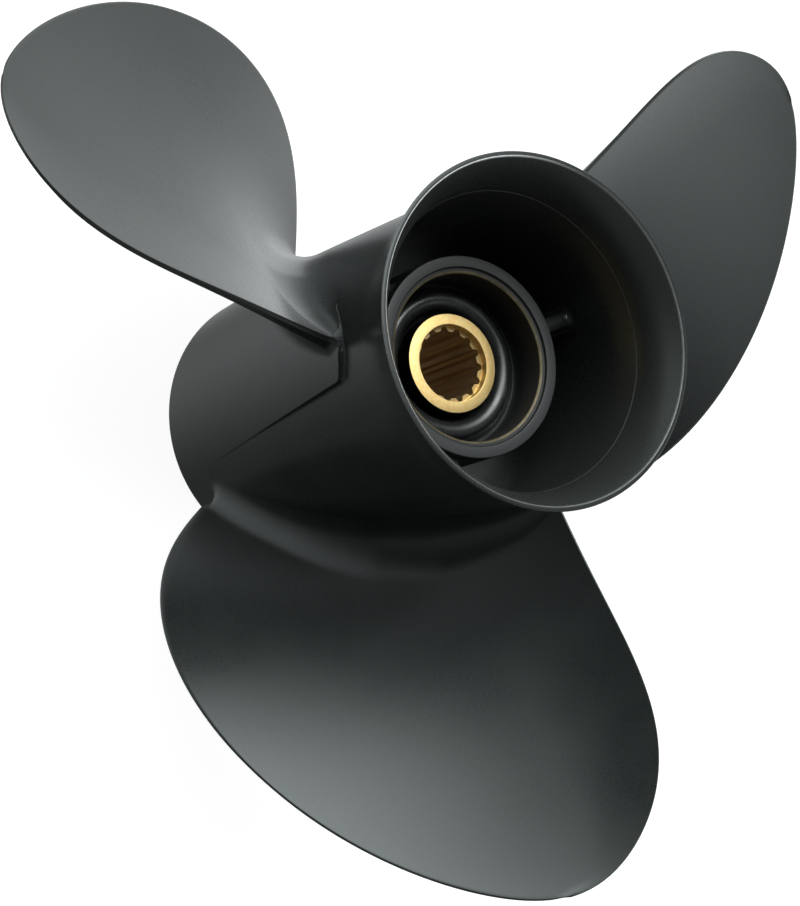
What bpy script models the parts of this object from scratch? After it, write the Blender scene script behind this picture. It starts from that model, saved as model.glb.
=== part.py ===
"""Outboard boat propeller: three blades on a hollow hub that the exhaust leaves through.

The propeller stands on the front end of its hub, with its shaft axis on Z and its flared aft
rim at the top. The origin lies on the shaft axis, in the plane of the hub's front end. Sizes
are in metres and angles in degrees, turning from +X towards +Y.
"""

import math

import bmesh
import bpy
import numpy as np

# Driving dimensions
DIAMETER = 0.3556
PITCH = 0.4953
HUB_LENGTH = 0.172
BLADE_COUNT = 3
TURN = 360.0 / BLADE_COUNT
FIRST_BLADE = -90.0
SEAT_GAP = 0.0003

# Hub barrel and its flared rim, with depths measured down from the rim
BARREL_FRONT_RADIUS = 0.0518
BARREL_WIDE_RADIUS = 0.0536
BARREL_WIDE_DEPTH = 0.1050
BARREL_AFT_RADIUS = 0.0511
BARREL_FRONT_BORE = 0.0476
BARREL_AFT_BORE = 0.0493
FRONT_CHAMFER = 0.0010
FLARE_DEPTH = 0.0230
RIM_RADIUS = 0.0581
RIM_BEVEL_HEIGHT = 0.0010
RIM_MOUTH_RADIUS = 0.0563
THROAT_RADIUS = 0.0496
THROAT_DEPTH = 0.0163
FLARE_POINTS = 6
FLARE_CURVE = 1.8
BARREL_SEGMENTS = 96

# Inner hub, ribs, rubber bush and splined sleeve, with depths measured down from the rim
INNER_HUB_DEPTH = 0.0413
INNER_HUB_FRONT = 0.0200
INNER_HUB_AFT_RADIUS = 0.0343
INNER_HUB_FRONT_RADIUS = 0.0352
INNER_HUB_BORE = 0.0285
INNER_HUB_FACE_BORE = 0.0305
INNER_HUB_COUNTERSINK = 0.0014
INNER_HUB_SEGMENTS = 72

RIB_THICKNESS = 0.0055
RIB_DEPTH = 0.0465
RIB_FRONT = 0.0230
FIRST_RIB = -26.0

SLEEVE_DEPTH = 0.0528
SLEEVE_FRONT = 0.0190
SLEEVE_RADIUS = 0.0171
SLEEVE_MOUTH_RADIUS = 0.0133
SLEEVE_MOUTH_DEPTH = 0.0032
SLEEVE_SEGMENTS = 60

BUSH_DEPTH = 0.0590
BUSH_FRONT = 0.0250
BUSH_RIDGE_RADIUS = 0.0222
BUSH_RIDGE_WIDTH = 0.0070
BUSH_RIDGE_HEIGHT = 0.0045
BUSH_RIDGE_POINTS = 5

# Splines of a one inch shaft: fifteen teeth, sixteen to the inch of pitch diameter
SPLINE_COUNT = 15
SPLINE_MINOR_RADIUS = 0.01111
SPLINE_MAJOR_RADIUS = 0.01285
SPLINE_ROOT_HALF_ANGLE = 3.0
SPLINE_MOUTH_HALF_ANGLE = 7.6

# Blade lines at five stations, evenly spaced from the start radius, inside the barrel, to the
# tip: the angle of the middle of the chord from the blade's own zero, half the chord's angle
# before the outline is rounded, and how far the middle of the chord lies below the rim
BLADE_START_RADIUS = 0.0470
STATIONS = (0.0, 0.25, 0.5, 0.75, 1.0)
CHORD_MIDDLE_ANGLES = (-58.4, -60.6, -58.3, -51.5, -42.2)
CHORD_HALF_ANGLES = (41.7, 38.7, 35.2, 28.7, 17.5)
CHORD_MIDDLE_DEPTHS = (0.0968, 0.0851, 0.0703, 0.0530, 0.0339)
TIP_ROUNDING_POWER = 4.0
CUP_HEIGHT = 0.0020
CUP_START = 0.6

# Blade thickness: at the middle of the root and the tip, and along the two edges
ROOT_THICKNESS = 0.0105
TIP_THICKNESS = 0.0030
LEADING_EDGE_THICKNESS = 0.0012
TRAILING_EDGE_ROOT_THICKNESS = 0.0030
TRAILING_EDGE_TIP_THICKNESS = 0.0010
TRAILING_EDGE_THINS_FROM = 0.55
BLADE_ROWS = 22
BLADE_COLUMNS = 14
ROOT_CAP_ROWS = 4

CASTING_COLOUR = (0.035, 0.038, 0.038)
RUBBER_COLOUR = (0.012, 0.012, 0.012)
BRASS_COLOUR = (0.72, 0.50, 0.20)


def make_collections():
    """Return the part's collection and the cutters' collection, in an emptied scene."""
    for obj in list(bpy.data.objects):
        bpy.data.objects.remove(obj, do_unlink=True)
    parts = bpy.data.collections.new("outboard_boat_propeller")
    cutters = bpy.data.collections.new("cutters")
    for collection in (parts, cutters):
        bpy.context.scene.collection.children.link(collection)
    return parts, cutters


def make_material(name, colour, roughness, metallic):
    """Return a Principled material of one colour."""
    material = bpy.data.materials.new(name)
    material.use_nodes = True
    shader = material.node_tree.nodes["Principled BSDF"]
    shader.inputs["Base Color"].default_value = (*colour, 1.0)
    shader.inputs["Roughness"].default_value = roughness
    shader.inputs["Metallic"].default_value = metallic
    material.diffuse_color = (*colour, 1.0)
    return material


def add_object(name, data, collection, material=None):
    """Link a new object that shows this mesh or curve."""
    obj = bpy.data.objects.new(name, data)
    collection.objects.link(obj)
    if material is not None:
        data.materials.append(material)
    return obj


def shade_round(mesh, sharp_angle=35.0):
    """Shade a mesh smooth, and keep its corners crisp."""
    mesh.shade_smooth()
    mesh.set_sharp_from_angle(angle=math.radians(sharp_angle))


def turned_profile(points, name):
    """Return a mesh of one closed loop of (radius, height) points, to be turned about Z."""
    mesh = bpy.data.meshes.new(name)
    verts = [(radius, 0.0, height) for radius, height in points]
    edges = [(i, (i + 1) % len(verts)) for i in range(len(verts))]
    mesh.from_pydata(verts, edges, [])
    return mesh


def add_turned(name, points, segments, collection, material):
    """Add a ring-shaped solid, turned about Z from a profile that runs down its outer side."""
    obj = add_object(name, turned_profile(points, name), collection, material)
    screw = obj.modifiers.new("turn", "SCREW")
    screw.steps = segments
    screw.render_steps = segments
    screw.use_merge_vertices = True
    screw.merge_threshold = 0.00001
    screw.use_smooth_shade = False
    return obj


def flare(radius_wide, height_wide, radius_narrow, height_narrow, count):
    """Return points of a flare, from its wide mouth down to its neck, where it runs straight."""
    points = []
    for i in range(count):
        share = i / (count - 1)
        radius = radius_narrow + (radius_wide - radius_narrow) * (1.0 - share) ** FLARE_CURVE
        points.append((radius, height_wide + (height_narrow - height_wide) * share))
    return points


def barrel_radius(height):
    """Return the radius of the barrel's outside at a height, widest between its two ends."""
    heights = (0.0, HUB_LENGTH - BARREL_WIDE_DEPTH, HUB_LENGTH - FLARE_DEPTH)
    radii = (BARREL_FRONT_RADIUS, BARREL_WIDE_RADIUS, BARREL_AFT_RADIUS)
    return float(np.interp(height, heights, radii))


def barrel_bore(height):
    """Return the radius of the barrel's bore at a height above its front end."""
    share = height / (HUB_LENGTH - THROAT_DEPTH)
    return BARREL_FRONT_BORE + (BARREL_AFT_BORE - BARREL_FRONT_BORE) * share


def inner_hub_radius(height):
    """Return the radius of the inner hub's outside at a height above the hub's front end."""
    length = HUB_LENGTH - INNER_HUB_DEPTH - INNER_HUB_FRONT
    share = (height - INNER_HUB_FRONT) / length
    return INNER_HUB_FRONT_RADIUS + (INNER_HUB_AFT_RADIUS - INNER_HUB_FRONT_RADIUS) * share


def add_hub_barrel(collection, material):
    """Add the tapered barrel with its flared, sharp-lipped aft rim."""
    throat_height = HUB_LENGTH - THROAT_DEPTH
    flare_height = HUB_LENGTH - FLARE_DEPTH
    rim_height = HUB_LENGTH - RIM_BEVEL_HEIGHT
    outside = flare(RIM_RADIUS, rim_height, BARREL_AFT_RADIUS, flare_height, FLARE_POINTS)
    mouth = flare(RIM_MOUTH_RADIUS, HUB_LENGTH, THROAT_RADIUS, throat_height, FLARE_POINTS)
    points = [
        *outside,
        (BARREL_WIDE_RADIUS, HUB_LENGTH - BARREL_WIDE_DEPTH),
        (BARREL_FRONT_RADIUS, FRONT_CHAMFER),
        (BARREL_FRONT_RADIUS - FRONT_CHAMFER, 0.0),
        (BARREL_FRONT_BORE, 0.0),
        (BARREL_AFT_BORE, throat_height),
        *reversed(mouth),
    ]
    return add_turned("hub_barrel", points, BARREL_SEGMENTS, collection, material)


def add_inner_hub(collection, material):
    """Add the inner hub, with its machined aft face and countersunk bore."""
    aft = HUB_LENGTH - INNER_HUB_DEPTH
    points = [
        (INNER_HUB_FACE_BORE, aft),
        (INNER_HUB_AFT_RADIUS, aft),
        (INNER_HUB_FRONT_RADIUS, INNER_HUB_FRONT),
        (INNER_HUB_BORE, INNER_HUB_FRONT),
        (INNER_HUB_BORE, aft - INNER_HUB_COUNTERSINK),
    ]
    return add_turned("inner_hub", points, INNER_HUB_SEGMENTS, collection, material)


def add_rubber_bush(collection, material):
    """Add the rubber bush, whose aft end swells into a round ridge about the sleeve."""
    aft = HUB_LENGTH - BUSH_DEPTH
    inner = SLEEVE_RADIUS + SEAT_GAP
    outer = INNER_HUB_BORE - SEAT_GAP
    ridge = []
    for i in range(BUSH_RIDGE_POINTS):
        turn = math.pi * i / (BUSH_RIDGE_POINTS - 1)
        radius = BUSH_RIDGE_RADIUS - 0.5 * BUSH_RIDGE_WIDTH * math.cos(turn)
        ridge.append((radius, aft + BUSH_RIDGE_HEIGHT * math.sin(turn)))
    points = [(inner, aft), *ridge, (outer, aft), (outer, BUSH_FRONT), (inner, BUSH_FRONT)]
    return add_turned("rubber_bush", points, INNER_HUB_SEGMENTS, collection, material)


def spline_outline():
    """Return the outline of the shaft's splines, as (x, y) points."""
    inside = 0.99 * SPLINE_MINOR_RADIUS
    corners = (
        (-SPLINE_MOUTH_HALF_ANGLE, inside),
        (-SPLINE_ROOT_HALF_ANGLE, SPLINE_MAJOR_RADIUS),
        (SPLINE_ROOT_HALF_ANGLE, SPLINE_MAJOR_RADIUS),
        (SPLINE_MOUTH_HALF_ANGLE, inside),
    )
    points = []
    for tooth in range(SPLINE_COUNT):
        for offset, radius in corners:
            angle = math.radians(360.0 * tooth / SPLINE_COUNT + offset)
            points.append((radius * math.cos(angle), radius * math.sin(angle)))
    return points


def add_spline_cutter(collection):
    """Add the splined plug that cuts the sleeve's grooves, longer than the sleeve."""
    mesh = bpy.data.meshes.new("spline_cutter")
    shape = bmesh.new()
    outline = [shape.verts.new((x, y, 0.0)) for x, y in spline_outline()]
    base = shape.faces.new(outline)
    raised = bmesh.ops.extrude_face_region(shape, geom=[base])["geom"]
    top = [vert for vert in raised if isinstance(vert, bmesh.types.BMVert)]
    bmesh.ops.translate(shape, verts=top, vec=(0.0, 0.0, HUB_LENGTH))
    bmesh.ops.recalc_face_normals(shape, faces=shape.faces)
    shape.to_mesh(mesh)
    shape.free()
    cutter = add_object("spline_cutter", mesh, collection)
    cutter.hide_render = True
    cutter.display_type = "WIRE"
    return cutter


def add_splined_sleeve(collection, cutters, material):
    """Add the brass sleeve, with a shallow counterbore at each end of its splines."""
    aft = HUB_LENGTH - SLEEVE_DEPTH
    points = [
        (SLEEVE_MOUTH_RADIUS, aft),
        (SLEEVE_RADIUS, aft),
        (SLEEVE_RADIUS, SLEEVE_FRONT),
        (SLEEVE_MOUTH_RADIUS, SLEEVE_FRONT),
        (SPLINE_MINOR_RADIUS, SLEEVE_FRONT + SLEEVE_MOUTH_DEPTH),
        (SPLINE_MINOR_RADIUS, aft - SLEEVE_MOUTH_DEPTH),
    ]
    sleeve = add_turned("splined_sleeve", points, SLEEVE_SEGMENTS, collection, material)
    cut = sleeve.modifiers.new("splines", "BOOLEAN")
    cut.object = add_spline_cutter(cutters)
    cut.operation = "DIFFERENCE"
    return sleeve


def add_hub_rib(index, collection, material):
    """Add a flat rib that carries the inner hub inside the barrel."""
    aft = HUB_LENGTH - RIB_DEPTH
    half = 0.5 * RIB_THICKNESS
    corners = []
    for height in (RIB_FRONT, aft):
        corners.append((inner_hub_radius(height) + SEAT_GAP, height))
    for height in (aft, RIB_FRONT):
        corners.append((math.sqrt((barrel_bore(height) - 1.5 * SEAT_GAP) ** 2 - half ** 2), height))
    name = f"hub_rib_{index + 1}"
    curve = bpy.data.curves.new(name, "CURVE")
    curve.dimensions = "2D"
    curve.fill_mode = "BOTH"
    curve.extrude = half
    outline = curve.splines.new("POLY")
    outline.points.add(len(corners) - 1)
    for point, (radius, height) in zip(outline.points, corners):
        point.co = (radius, height, 0.0, 1.0)
    outline.use_cyclic_u = True
    rib = add_object(name, curve, collection, material)
    rib.rotation_euler = (math.radians(90.0), 0.0, math.radians(FIRST_RIB + TURN * index))
    return rib


def station_curve(values):
    """Return the cubic through a value at each blade station, and its slope."""
    cubic = np.poly1d(np.polyfit(STATIONS, values, len(STATIONS) - 1))
    return cubic, cubic.deriv()


class BladeLines:
    """The aft face of one blade, a right-handed screw of constant pitch with skew and rake."""

    def __init__(self, turn):
        self.turn = turn
        self.span = 0.5 * DIAMETER - BLADE_START_RADIUS
        self.lead = PITCH / (2.0 * math.pi)
        self.middle, self.middle_slope = station_curve(np.radians(CHORD_MIDDLE_ANGLES))
        self.half, _ = station_curve(np.radians(CHORD_HALF_ANGLES))
        self.depth, self.depth_slope = station_curve(CHORD_MIDDLE_DEPTHS)

    def cylinder_point(self, reach, side):
        """Return radius, angle and height at a share of the span, side -1 leading to 1 trailing."""
        rounding = math.sqrt(max(0.0, 1.0 - reach ** TIP_ROUNDING_POWER))
        swing = side * self.half(reach) * rounding
        cup = CUP_HEIGHT * rounding * (max(0.0, side - CUP_START) / (1.0 - CUP_START)) ** 2
        radius = BLADE_START_RADIUS + self.span * reach
        height = HUB_LENGTH - self.depth(reach) + self.lead * swing + cup
        return radius, self.middle(reach) + swing, height

    def root_reach(self, side):
        """Return the share of the span at which the aft face meets the barrel."""
        reach = 0.0
        for _ in range(8):
            height = self.cylinder_point(reach, side)[2]
            reach = (barrel_radius(height) + SEAT_GAP - BLADE_START_RADIUS) / self.span
        return reach

    def forward_normal(self, reach, side):
        """Return the unit normal of the aft face, pointing forward through the blade."""
        radius, angle, _ = self.cylinder_point(reach, side)
        rise = (-self.depth_slope(reach) - self.lead * self.middle_slope(reach)) / self.span
        along = np.array((-radius * math.sin(angle), radius * math.cos(angle), self.lead))
        outward = np.array((math.cos(angle), math.sin(angle), rise))
        normal = np.cross(outward, along)
        return -normal / np.linalg.norm(normal)

    def thickness(self, reach, side):
        """Return the blade's thickness, fullest a little behind the middle of the chord."""
        share = 0.5 * (1.0 + side)
        thinning = max(0.0, reach - TRAILING_EDGE_THINS_FROM) / (1.0 - TRAILING_EDGE_THINS_FROM)
        trailing = TRAILING_EDGE_ROOT_THICKNESS
        trailing += (TRAILING_EDGE_TIP_THICKNESS - TRAILING_EDGE_ROOT_THICKNESS) * thinning ** 1.5
        edge = LEADING_EDGE_THICKNESS + (trailing - LEADING_EDGE_THICKNESS) * share
        full = ROOT_THICKNESS + (TIP_THICKNESS - ROOT_THICKNESS) * math.sqrt(reach)
        swell = math.sin(math.pi * share ** 1.15) ** 0.8 if 0.0 < share < 1.0 else 0.0
        rounding = math.sqrt(max(0.0, 1.0 - reach ** TIP_ROUNDING_POWER))
        return edge + (full - edge) * swell * rounding

    def place(self, radius, angle, height):
        """Return a point in the part's frame, turned to this blade."""
        angle += self.turn
        return np.array((radius * math.cos(angle), radius * math.sin(angle), height))

    def aft_point(self, reach, side):
        """Return a point of the aft face."""
        return self.place(*self.cylinder_point(reach, side))

    def forward_point(self, reach, side):
        """Return the point of the forward face behind a point of the aft face."""
        radius, angle, height = self.cylinder_point(reach, side)
        flat = np.array((radius * math.cos(angle), radius * math.sin(angle), height))
        point = flat + self.thickness(reach, side) * self.forward_normal(reach, side)
        return self.place(math.hypot(point[0], point[1]), math.atan2(point[1], point[0]), point[2])


def seat_on_barrel(point):
    """Return the point moved square to the axis until it lies just clear of the barrel."""
    radius = barrel_radius(point[2]) + SEAT_GAP
    scale = radius / math.hypot(point[0], point[1])
    return np.array((point[0] * scale, point[1] * scale, point[2]))


def blade_grid(lines, face_point):
    """Return rows of points of one face, from its seat on the barrel to just short of the tip."""
    rows = []
    sides = np.linspace(-1.0, 1.0, BLADE_COLUMNS + 1)
    for row in range(BLADE_ROWS):
        share = math.sin(0.5 * math.pi * row / BLADE_ROWS)
        points = []
        for side in sides:
            start = lines.root_reach(side)
            point = face_point(start + (1.0 - start) * share, side)
            points.append(seat_on_barrel(point) if row == 0 else point)
        rows.append(points)
    return rows


def join_rows(shape, lower, upper):
    """Fill the strip between two rows of vertices."""
    for i in range(len(lower) - 1):
        shape.faces.new((lower[i], lower[i + 1], upper[i + 1], upper[i]))


def add_blade(index, collection, material):
    """Add one blade: its aft and forward faces, its edges and its root, seated on the barrel."""
    lines = BladeLines(math.radians(FIRST_BLADE + TURN * index))
    shape = bmesh.new()
    faces = []
    tips = []
    for face_point in (lines.aft_point, lines.forward_point):
        grid = blade_grid(lines, face_point)
        rows = [[shape.verts.new(point) for point in row] for row in grid]
        for lower, upper in zip(rows, rows[1:]):
            join_rows(shape, lower, upper)
        tip = shape.verts.new(face_point(1.0, 0.0))
        for i in range(BLADE_COLUMNS):
            shape.faces.new((rows[-1][i], rows[-1][i + 1], tip))
        faces.append(rows)
        tips.append(tip)
    aft, forward = faces
    for column in (0, -1):
        aft_edge = [row[column] for row in aft] + [tips[0]]
        forward_edge = [row[column] for row in forward] + [tips[1]]
        join_rows(shape, aft_edge, forward_edge)
    caps = [aft[0]]
    for row in range(1, ROOT_CAP_ROWS):
        share = row / ROOT_CAP_ROWS
        points = []
        for a, b in zip(aft[0], forward[0]):
            points.append(seat_on_barrel(np.array(a.co.lerp(b.co, share))))
        caps.append([shape.verts.new(point) for point in points])
    caps.append(forward[0])
    for lower, upper in zip(caps, caps[1:]):
        join_rows(shape, lower, upper)
    for column in (0, -1):
        shape.faces.new([row[column] for row in caps])
    bmesh.ops.recalc_face_normals(shape, faces=shape.faces)
    name = f"blade_{index + 1}"
    mesh = bpy.data.meshes.new(name)
    shape.to_mesh(mesh)
    shape.free()
    shade_round(mesh)
    return add_object(name, mesh, collection, material)


def build():
    """Model the whole propeller."""
    parts, cutters = make_collections()
    casting = {"colour": CASTING_COLOUR, "roughness": 0.4, "metallic": 0.0}
    add_hub_barrel(parts, make_material("hub_barrel_paint", **casting))
    for index in range(BLADE_COUNT):
        add_blade(index, parts, make_material(f"blade_{index + 1}_paint", **casting))
        add_hub_rib(index, parts, make_material(f"hub_rib_{index + 1}_paint", **casting))
    add_inner_hub(parts, make_material("inner_hub_paint", **casting))
    add_rubber_bush(parts, make_material("bush_rubber", RUBBER_COLOUR, 0.35, 0.0))
    add_splined_sleeve(parts, cutters, make_material("sleeve_brass", BRASS_COLOUR, 0.35, 1.0))


if __name__ == "__main__":
    build()
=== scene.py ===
"""Outboard boat propeller: its cast, moulded and machined pieces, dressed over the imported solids.

The shaft axis is on Z and the flared aft rim is at the top. Sizes are in metres. Angles are in
degrees, turning from +X towards +Y, and a depth is measured down the axis from the aft rim.
"""

import logging
import math
from dataclasses import dataclass, field
from enum import Enum
from functools import cached_property
from typing import Callable, Sequence

import bpy
import numpy as np
from mathutils import Matrix, Vector


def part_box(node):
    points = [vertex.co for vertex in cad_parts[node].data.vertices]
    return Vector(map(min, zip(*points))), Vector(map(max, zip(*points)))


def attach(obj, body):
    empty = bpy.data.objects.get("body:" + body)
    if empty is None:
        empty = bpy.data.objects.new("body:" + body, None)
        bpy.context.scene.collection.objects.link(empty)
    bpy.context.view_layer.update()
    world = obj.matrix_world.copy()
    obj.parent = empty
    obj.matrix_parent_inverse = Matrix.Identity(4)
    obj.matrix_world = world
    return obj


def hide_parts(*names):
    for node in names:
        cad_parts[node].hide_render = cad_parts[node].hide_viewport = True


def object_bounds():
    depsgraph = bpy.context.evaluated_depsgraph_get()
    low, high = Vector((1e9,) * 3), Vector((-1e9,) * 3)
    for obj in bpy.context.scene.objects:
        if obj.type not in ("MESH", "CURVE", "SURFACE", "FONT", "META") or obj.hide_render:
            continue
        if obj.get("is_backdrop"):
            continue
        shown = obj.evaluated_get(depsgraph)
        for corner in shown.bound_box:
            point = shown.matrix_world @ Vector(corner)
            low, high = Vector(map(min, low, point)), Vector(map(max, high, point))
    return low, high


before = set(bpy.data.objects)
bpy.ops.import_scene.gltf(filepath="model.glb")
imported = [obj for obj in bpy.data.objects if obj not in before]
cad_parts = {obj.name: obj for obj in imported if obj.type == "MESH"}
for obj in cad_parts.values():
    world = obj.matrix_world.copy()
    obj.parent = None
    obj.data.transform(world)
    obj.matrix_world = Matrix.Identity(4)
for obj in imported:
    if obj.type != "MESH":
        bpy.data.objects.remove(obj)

CAD_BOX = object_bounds()
HUB_LENGTH = float(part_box("hub_barrel")[1][2])
INNER_HUB_DEPTH = 0.0413
SLEEVE_DEPTH = 0.0528
BLADE_COUNT = 3
TURN = 360.0 / BLADE_COUNT
FIRST_BLADE = -90.0
FLARE_CURVE = 1.8
TINY = 1e-6
AXIS = (0.0, 0.0, 0.0)

# The most of a side that a rounded corner may take, and a fillet's turns in radians
NEARLY_HALF = 0.49
QUARTER_TURN = np.radians(np.linspace(0.0, 90.0, 7))

# In the materials: how wide a soft border is, what a value becomes, and the parts of a noise used
FADE = 0.0002
RISE = (0.0, 1.0)
FALL = (1.0, 0.0)
NOISE_MIDDLE = (0.35, 0.65)
NOISE_BROAD = (0.3, 0.7)

Point2 = tuple[float, float]
Point3 = tuple[float, float, float]
Colour = tuple[float, float, float]
Piece = bpy.types.Object
Material = bpy.types.Material
Socket = bpy.types.NodeSocket
Surface = Callable[[np.ndarray, np.ndarray], np.ndarray]
log = logging.getLogger("propeller")


def deselect_all() -> None:
    """Leave object mode with nothing selected."""
    if bpy.context.object is not None and bpy.context.object.mode != "OBJECT":
        bpy.ops.object.mode_set(mode="OBJECT")
    bpy.ops.object.select_all(action="DESELECT")


def choose(*pieces: Piece) -> None:
    """Select these pieces alone, the first of them active.

    Args:
        pieces: The objects to select.
    """
    deselect_all()
    for piece in pieces:
        piece.select_set(True)
    bpy.context.view_layer.objects.active = pieces[0]


def face_outwards() -> None:
    """Turn every face outwards in edit mode, and leave it."""
    bpy.ops.mesh.select_all(action="SELECT")
    bpy.ops.mesh.normals_make_consistent(inside=False)
    bpy.ops.object.mode_set(mode="OBJECT")


def weld(piece: Piece, distance: float = 0.000002) -> None:
    """Merge a piece's doubled corners and turn its faces outwards.

    Args:
        piece: The mesh object.
        distance: Corners nearer than this become one.
    """
    choose(piece)
    bpy.ops.object.mode_set(mode="EDIT")
    bpy.ops.mesh.select_all(action="SELECT")
    bpy.ops.mesh.remove_doubles(threshold=distance)
    face_outwards()


def finish_piece(piece: Piece, name: str, sharp: float = 32.0) -> Piece:
    """Name a piece, put its place into its mesh, and shade it with crisp edges.

    Args:
        piece: The modelled object.
        name: The name it keeps.
        sharp: Edges steeper than this angle stay crisp.

    Returns:
        The same object.
    """
    piece.name = name
    piece.data.name = name
    choose(piece)
    bpy.ops.object.transform_apply(location=True, rotation=True, scale=True)
    bpy.ops.object.shade_smooth_by_angle(angle=math.radians(sharp))
    return piece


def tie(piece: Piece, finish: Material, node: str) -> None:
    """Dress a finished piece, and let it stand for its solid.

    Args:
        piece: The finished object.
        finish: Its material.
        node: The solid that it replaces.
    """
    piece.data.materials.append(finish)
    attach(piece, "root")
    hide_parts(node)


def copy_round(piece: Piece, stem: str) -> list[Piece]:
    """Copy a piece round the shaft axis, once for each other blade, each with a mesh of its own.

    Args:
        piece: The first piece.
        stem: The copies' name, without its number.

    Returns:
        The first piece and its copies.
    """
    pieces = [piece]
    for turns in range(1, BLADE_COUNT):
        choose(piece)
        bpy.ops.object.duplicate(linked=False)
        copy = bpy.context.object
        copy.rotation_euler = (0.0, 0.0, math.radians(TURN * turns))
        pieces.append(finish_piece(copy, f"{stem}_{turns + 1}"))
    return pieces


def lay_grid(points: np.ndarray) -> Piece:
    """Lay a primitive grid on rows of points.

    Args:
        points: An array of rows, columns and x, y, z.

    Returns:
        The grid's object.
    """
    rows, columns = points.shape[:2]
    deselect_all()
    bpy.ops.mesh.primitive_grid_add(x_subdivisions=columns - 1, y_subdivisions=rows - 1, size=1.0)
    piece = bpy.context.object
    piece.data.vertices.foreach_set("co", np.ascontiguousarray(points, dtype=np.float32).ravel())
    piece.data.update()
    return piece


def grow_ring(rise: float, scale: float) -> None:
    """Extrude the selected ring along the axis and scale it about the axis.

    Args:
        rise: How far it moves up.
        scale: How much wider it becomes.
    """
    bpy.ops.mesh.extrude_edges_move(TRANSFORM_OT_translate={"value": (0.0, 0.0, rise)})
    bpy.ops.transform.resize(value=(scale, scale, 1.0), center_override=AXIS)


def turn_profile(profile: Sequence[Point2], segments: int) -> Piece:
    """Raise a circle ring by ring along a closed profile, and bridge its last ring to its first.

    Args:
        profile: Points of radius and height, in order round the profile.
        segments: How many corners each ring has.

    Returns:
        The closed, ring-shaped object.
    """
    deselect_all()
    radius, height = profile[0]
    bpy.ops.mesh.primitive_circle_add(vertices=segments, radius=radius, enter_editmode=True)
    bpy.ops.transform.translate(value=(0.0, 0.0, height))
    for (from_radius, from_height), (radius, height) in zip(profile, profile[1:]):
        grow_ring(height - from_height, radius / from_radius)
    bpy.ops.mesh.select_mode(type="EDGE")
    bpy.ops.mesh.select_all(action="DESELECT")
    bpy.ops.mesh.select_non_manifold(use_wire=False, use_multi_face=False, use_non_contiguous=False,
                                     use_verts=False)
    bpy.ops.mesh.bridge_edge_loops()
    face_outwards()
    return bpy.context.object


def unit(vectors: np.ndarray) -> np.ndarray:
    """Return vectors scaled to length one."""
    return vectors / np.linalg.norm(vectors, axis=-1, keepdims=True)


def off_axis(points: np.ndarray) -> np.ndarray:
    """Return the points' distances from the shaft axis."""
    return np.hypot(points[:, 0], points[:, 1])


def at_radius(points: np.ndarray, radius: np.ndarray) -> np.ndarray:
    """Return points moved level to other distances from the shaft axis."""
    return np.column_stack((points[:, :2] * (radius / off_axis(points))[:, None], points[:, 2]))


def curve_through(places: Sequence[float], values: Sequence[float]) -> np.poly1d:
    """Return the smooth curve that has a value at each place."""
    return np.poly1d(np.polyfit(places, values, len(places) - 1))


def turn_arm(start: np.ndarray, end: np.ndarray, sweep: np.ndarray | float,
             share: np.ndarray | float) -> np.ndarray:
    """Return arms turned part of the way from one direction to another.

    Args:
        start: The arms at the start.
        end: The arms at the end, as long as those.
        sweep: The angles between them, in radians.
        share: How much of the way they have turned.

    Returns:
        The turned arms.
    """
    return (np.sin((1.0 - share) * sweep) * start + np.sin(share * sweep) * end) / np.sin(sweep)


@dataclass(frozen=True)
class Corner:
    """A corner of a flat profile, sharp or rounded."""

    across: float
    along: float
    radius: float = 0.0


def round_corners(corners: Sequence[Corner], closed: bool = True, steps: int = 4) -> list[Point2]:
    """Return a profile's points, with an arc at each rounded corner.

    Args:
        corners: The profile's corners in order.
        closed: Whether the last corner joins the first.
        steps: How many pieces each arc has.

    Returns:
        The points of the profile.
    """
    points: list[Point2] = []
    count = len(corners)
    for i, corner in enumerate(corners):
        here = np.array((corner.across, corner.along))
        if corner.radius <= 0.0 or (not closed and i in (0, count - 1)):
            points.append((corner.across, corner.along))
            continue
        before, after = corners[i - 1], corners[(i + 1) % count]
        back = np.array((before.across, before.along)) - here
        ahead = np.array((after.across, after.along)) - here
        back_length, ahead_length = np.linalg.norm(back), np.linalg.norm(ahead)
        back, ahead = back / back_length, ahead / ahead_length
        half = 0.5 * math.acos(float(np.clip(back @ ahead, -1.0, 1.0)))
        reach = min(corner.radius / math.tan(half), NEARLY_HALF * back_length,
                    NEARLY_HALF * ahead_length)
        radius = reach * math.tan(half)
        centre = here + unit(back + ahead) * radius / math.sin(half)
        start, end = here + back * reach - centre, here + ahead * reach - centre
        sweep = math.pi - 2.0 * half
        points.extend(tuple(centre + turn_arm(start, end, sweep, step / steps))
                      for step in range(steps + 1))
    return points


def flare(wide: Point2, narrow: Point2, count: int) -> list[Point2]:
    """Return points of a flare.

    Args:
        wide: Radius and depth of the flare's mouth.
        narrow: Radius and depth of its neck, where it runs on along the axis.
        count: How many points it has.

    Returns:
        The points from mouth to neck.
    """
    points = []
    for i in range(count):
        share = i / (count - 1)
        radius = narrow[0] + (wide[0] - narrow[0]) * (1.0 - share) ** FLARE_CURVE
        points.append((radius, wide[1] + (narrow[1] - wide[1]) * share))
    return points


class Side(Enum):
    """A face of a blade, with its normals' sense: the pressure face looks aft, the other forward."""

    PRESSURE = -1.0
    SUCTION = 1.0


class Edge(Enum):
    """An edge of a blade, with its place across the chord."""

    LEADING = -1.0
    TRAILING = 1.0


@dataclass(frozen=True)
class Grain:
    """An uneven pattern on a piece: features to the metre, octaves, and how strong they are.

    Where the pattern is stretched, the scales of x, y and z follow.
    """

    scale: float
    detail: float = 2.0
    rough: float = 0.5
    stretch: Point3 | None = None


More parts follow.
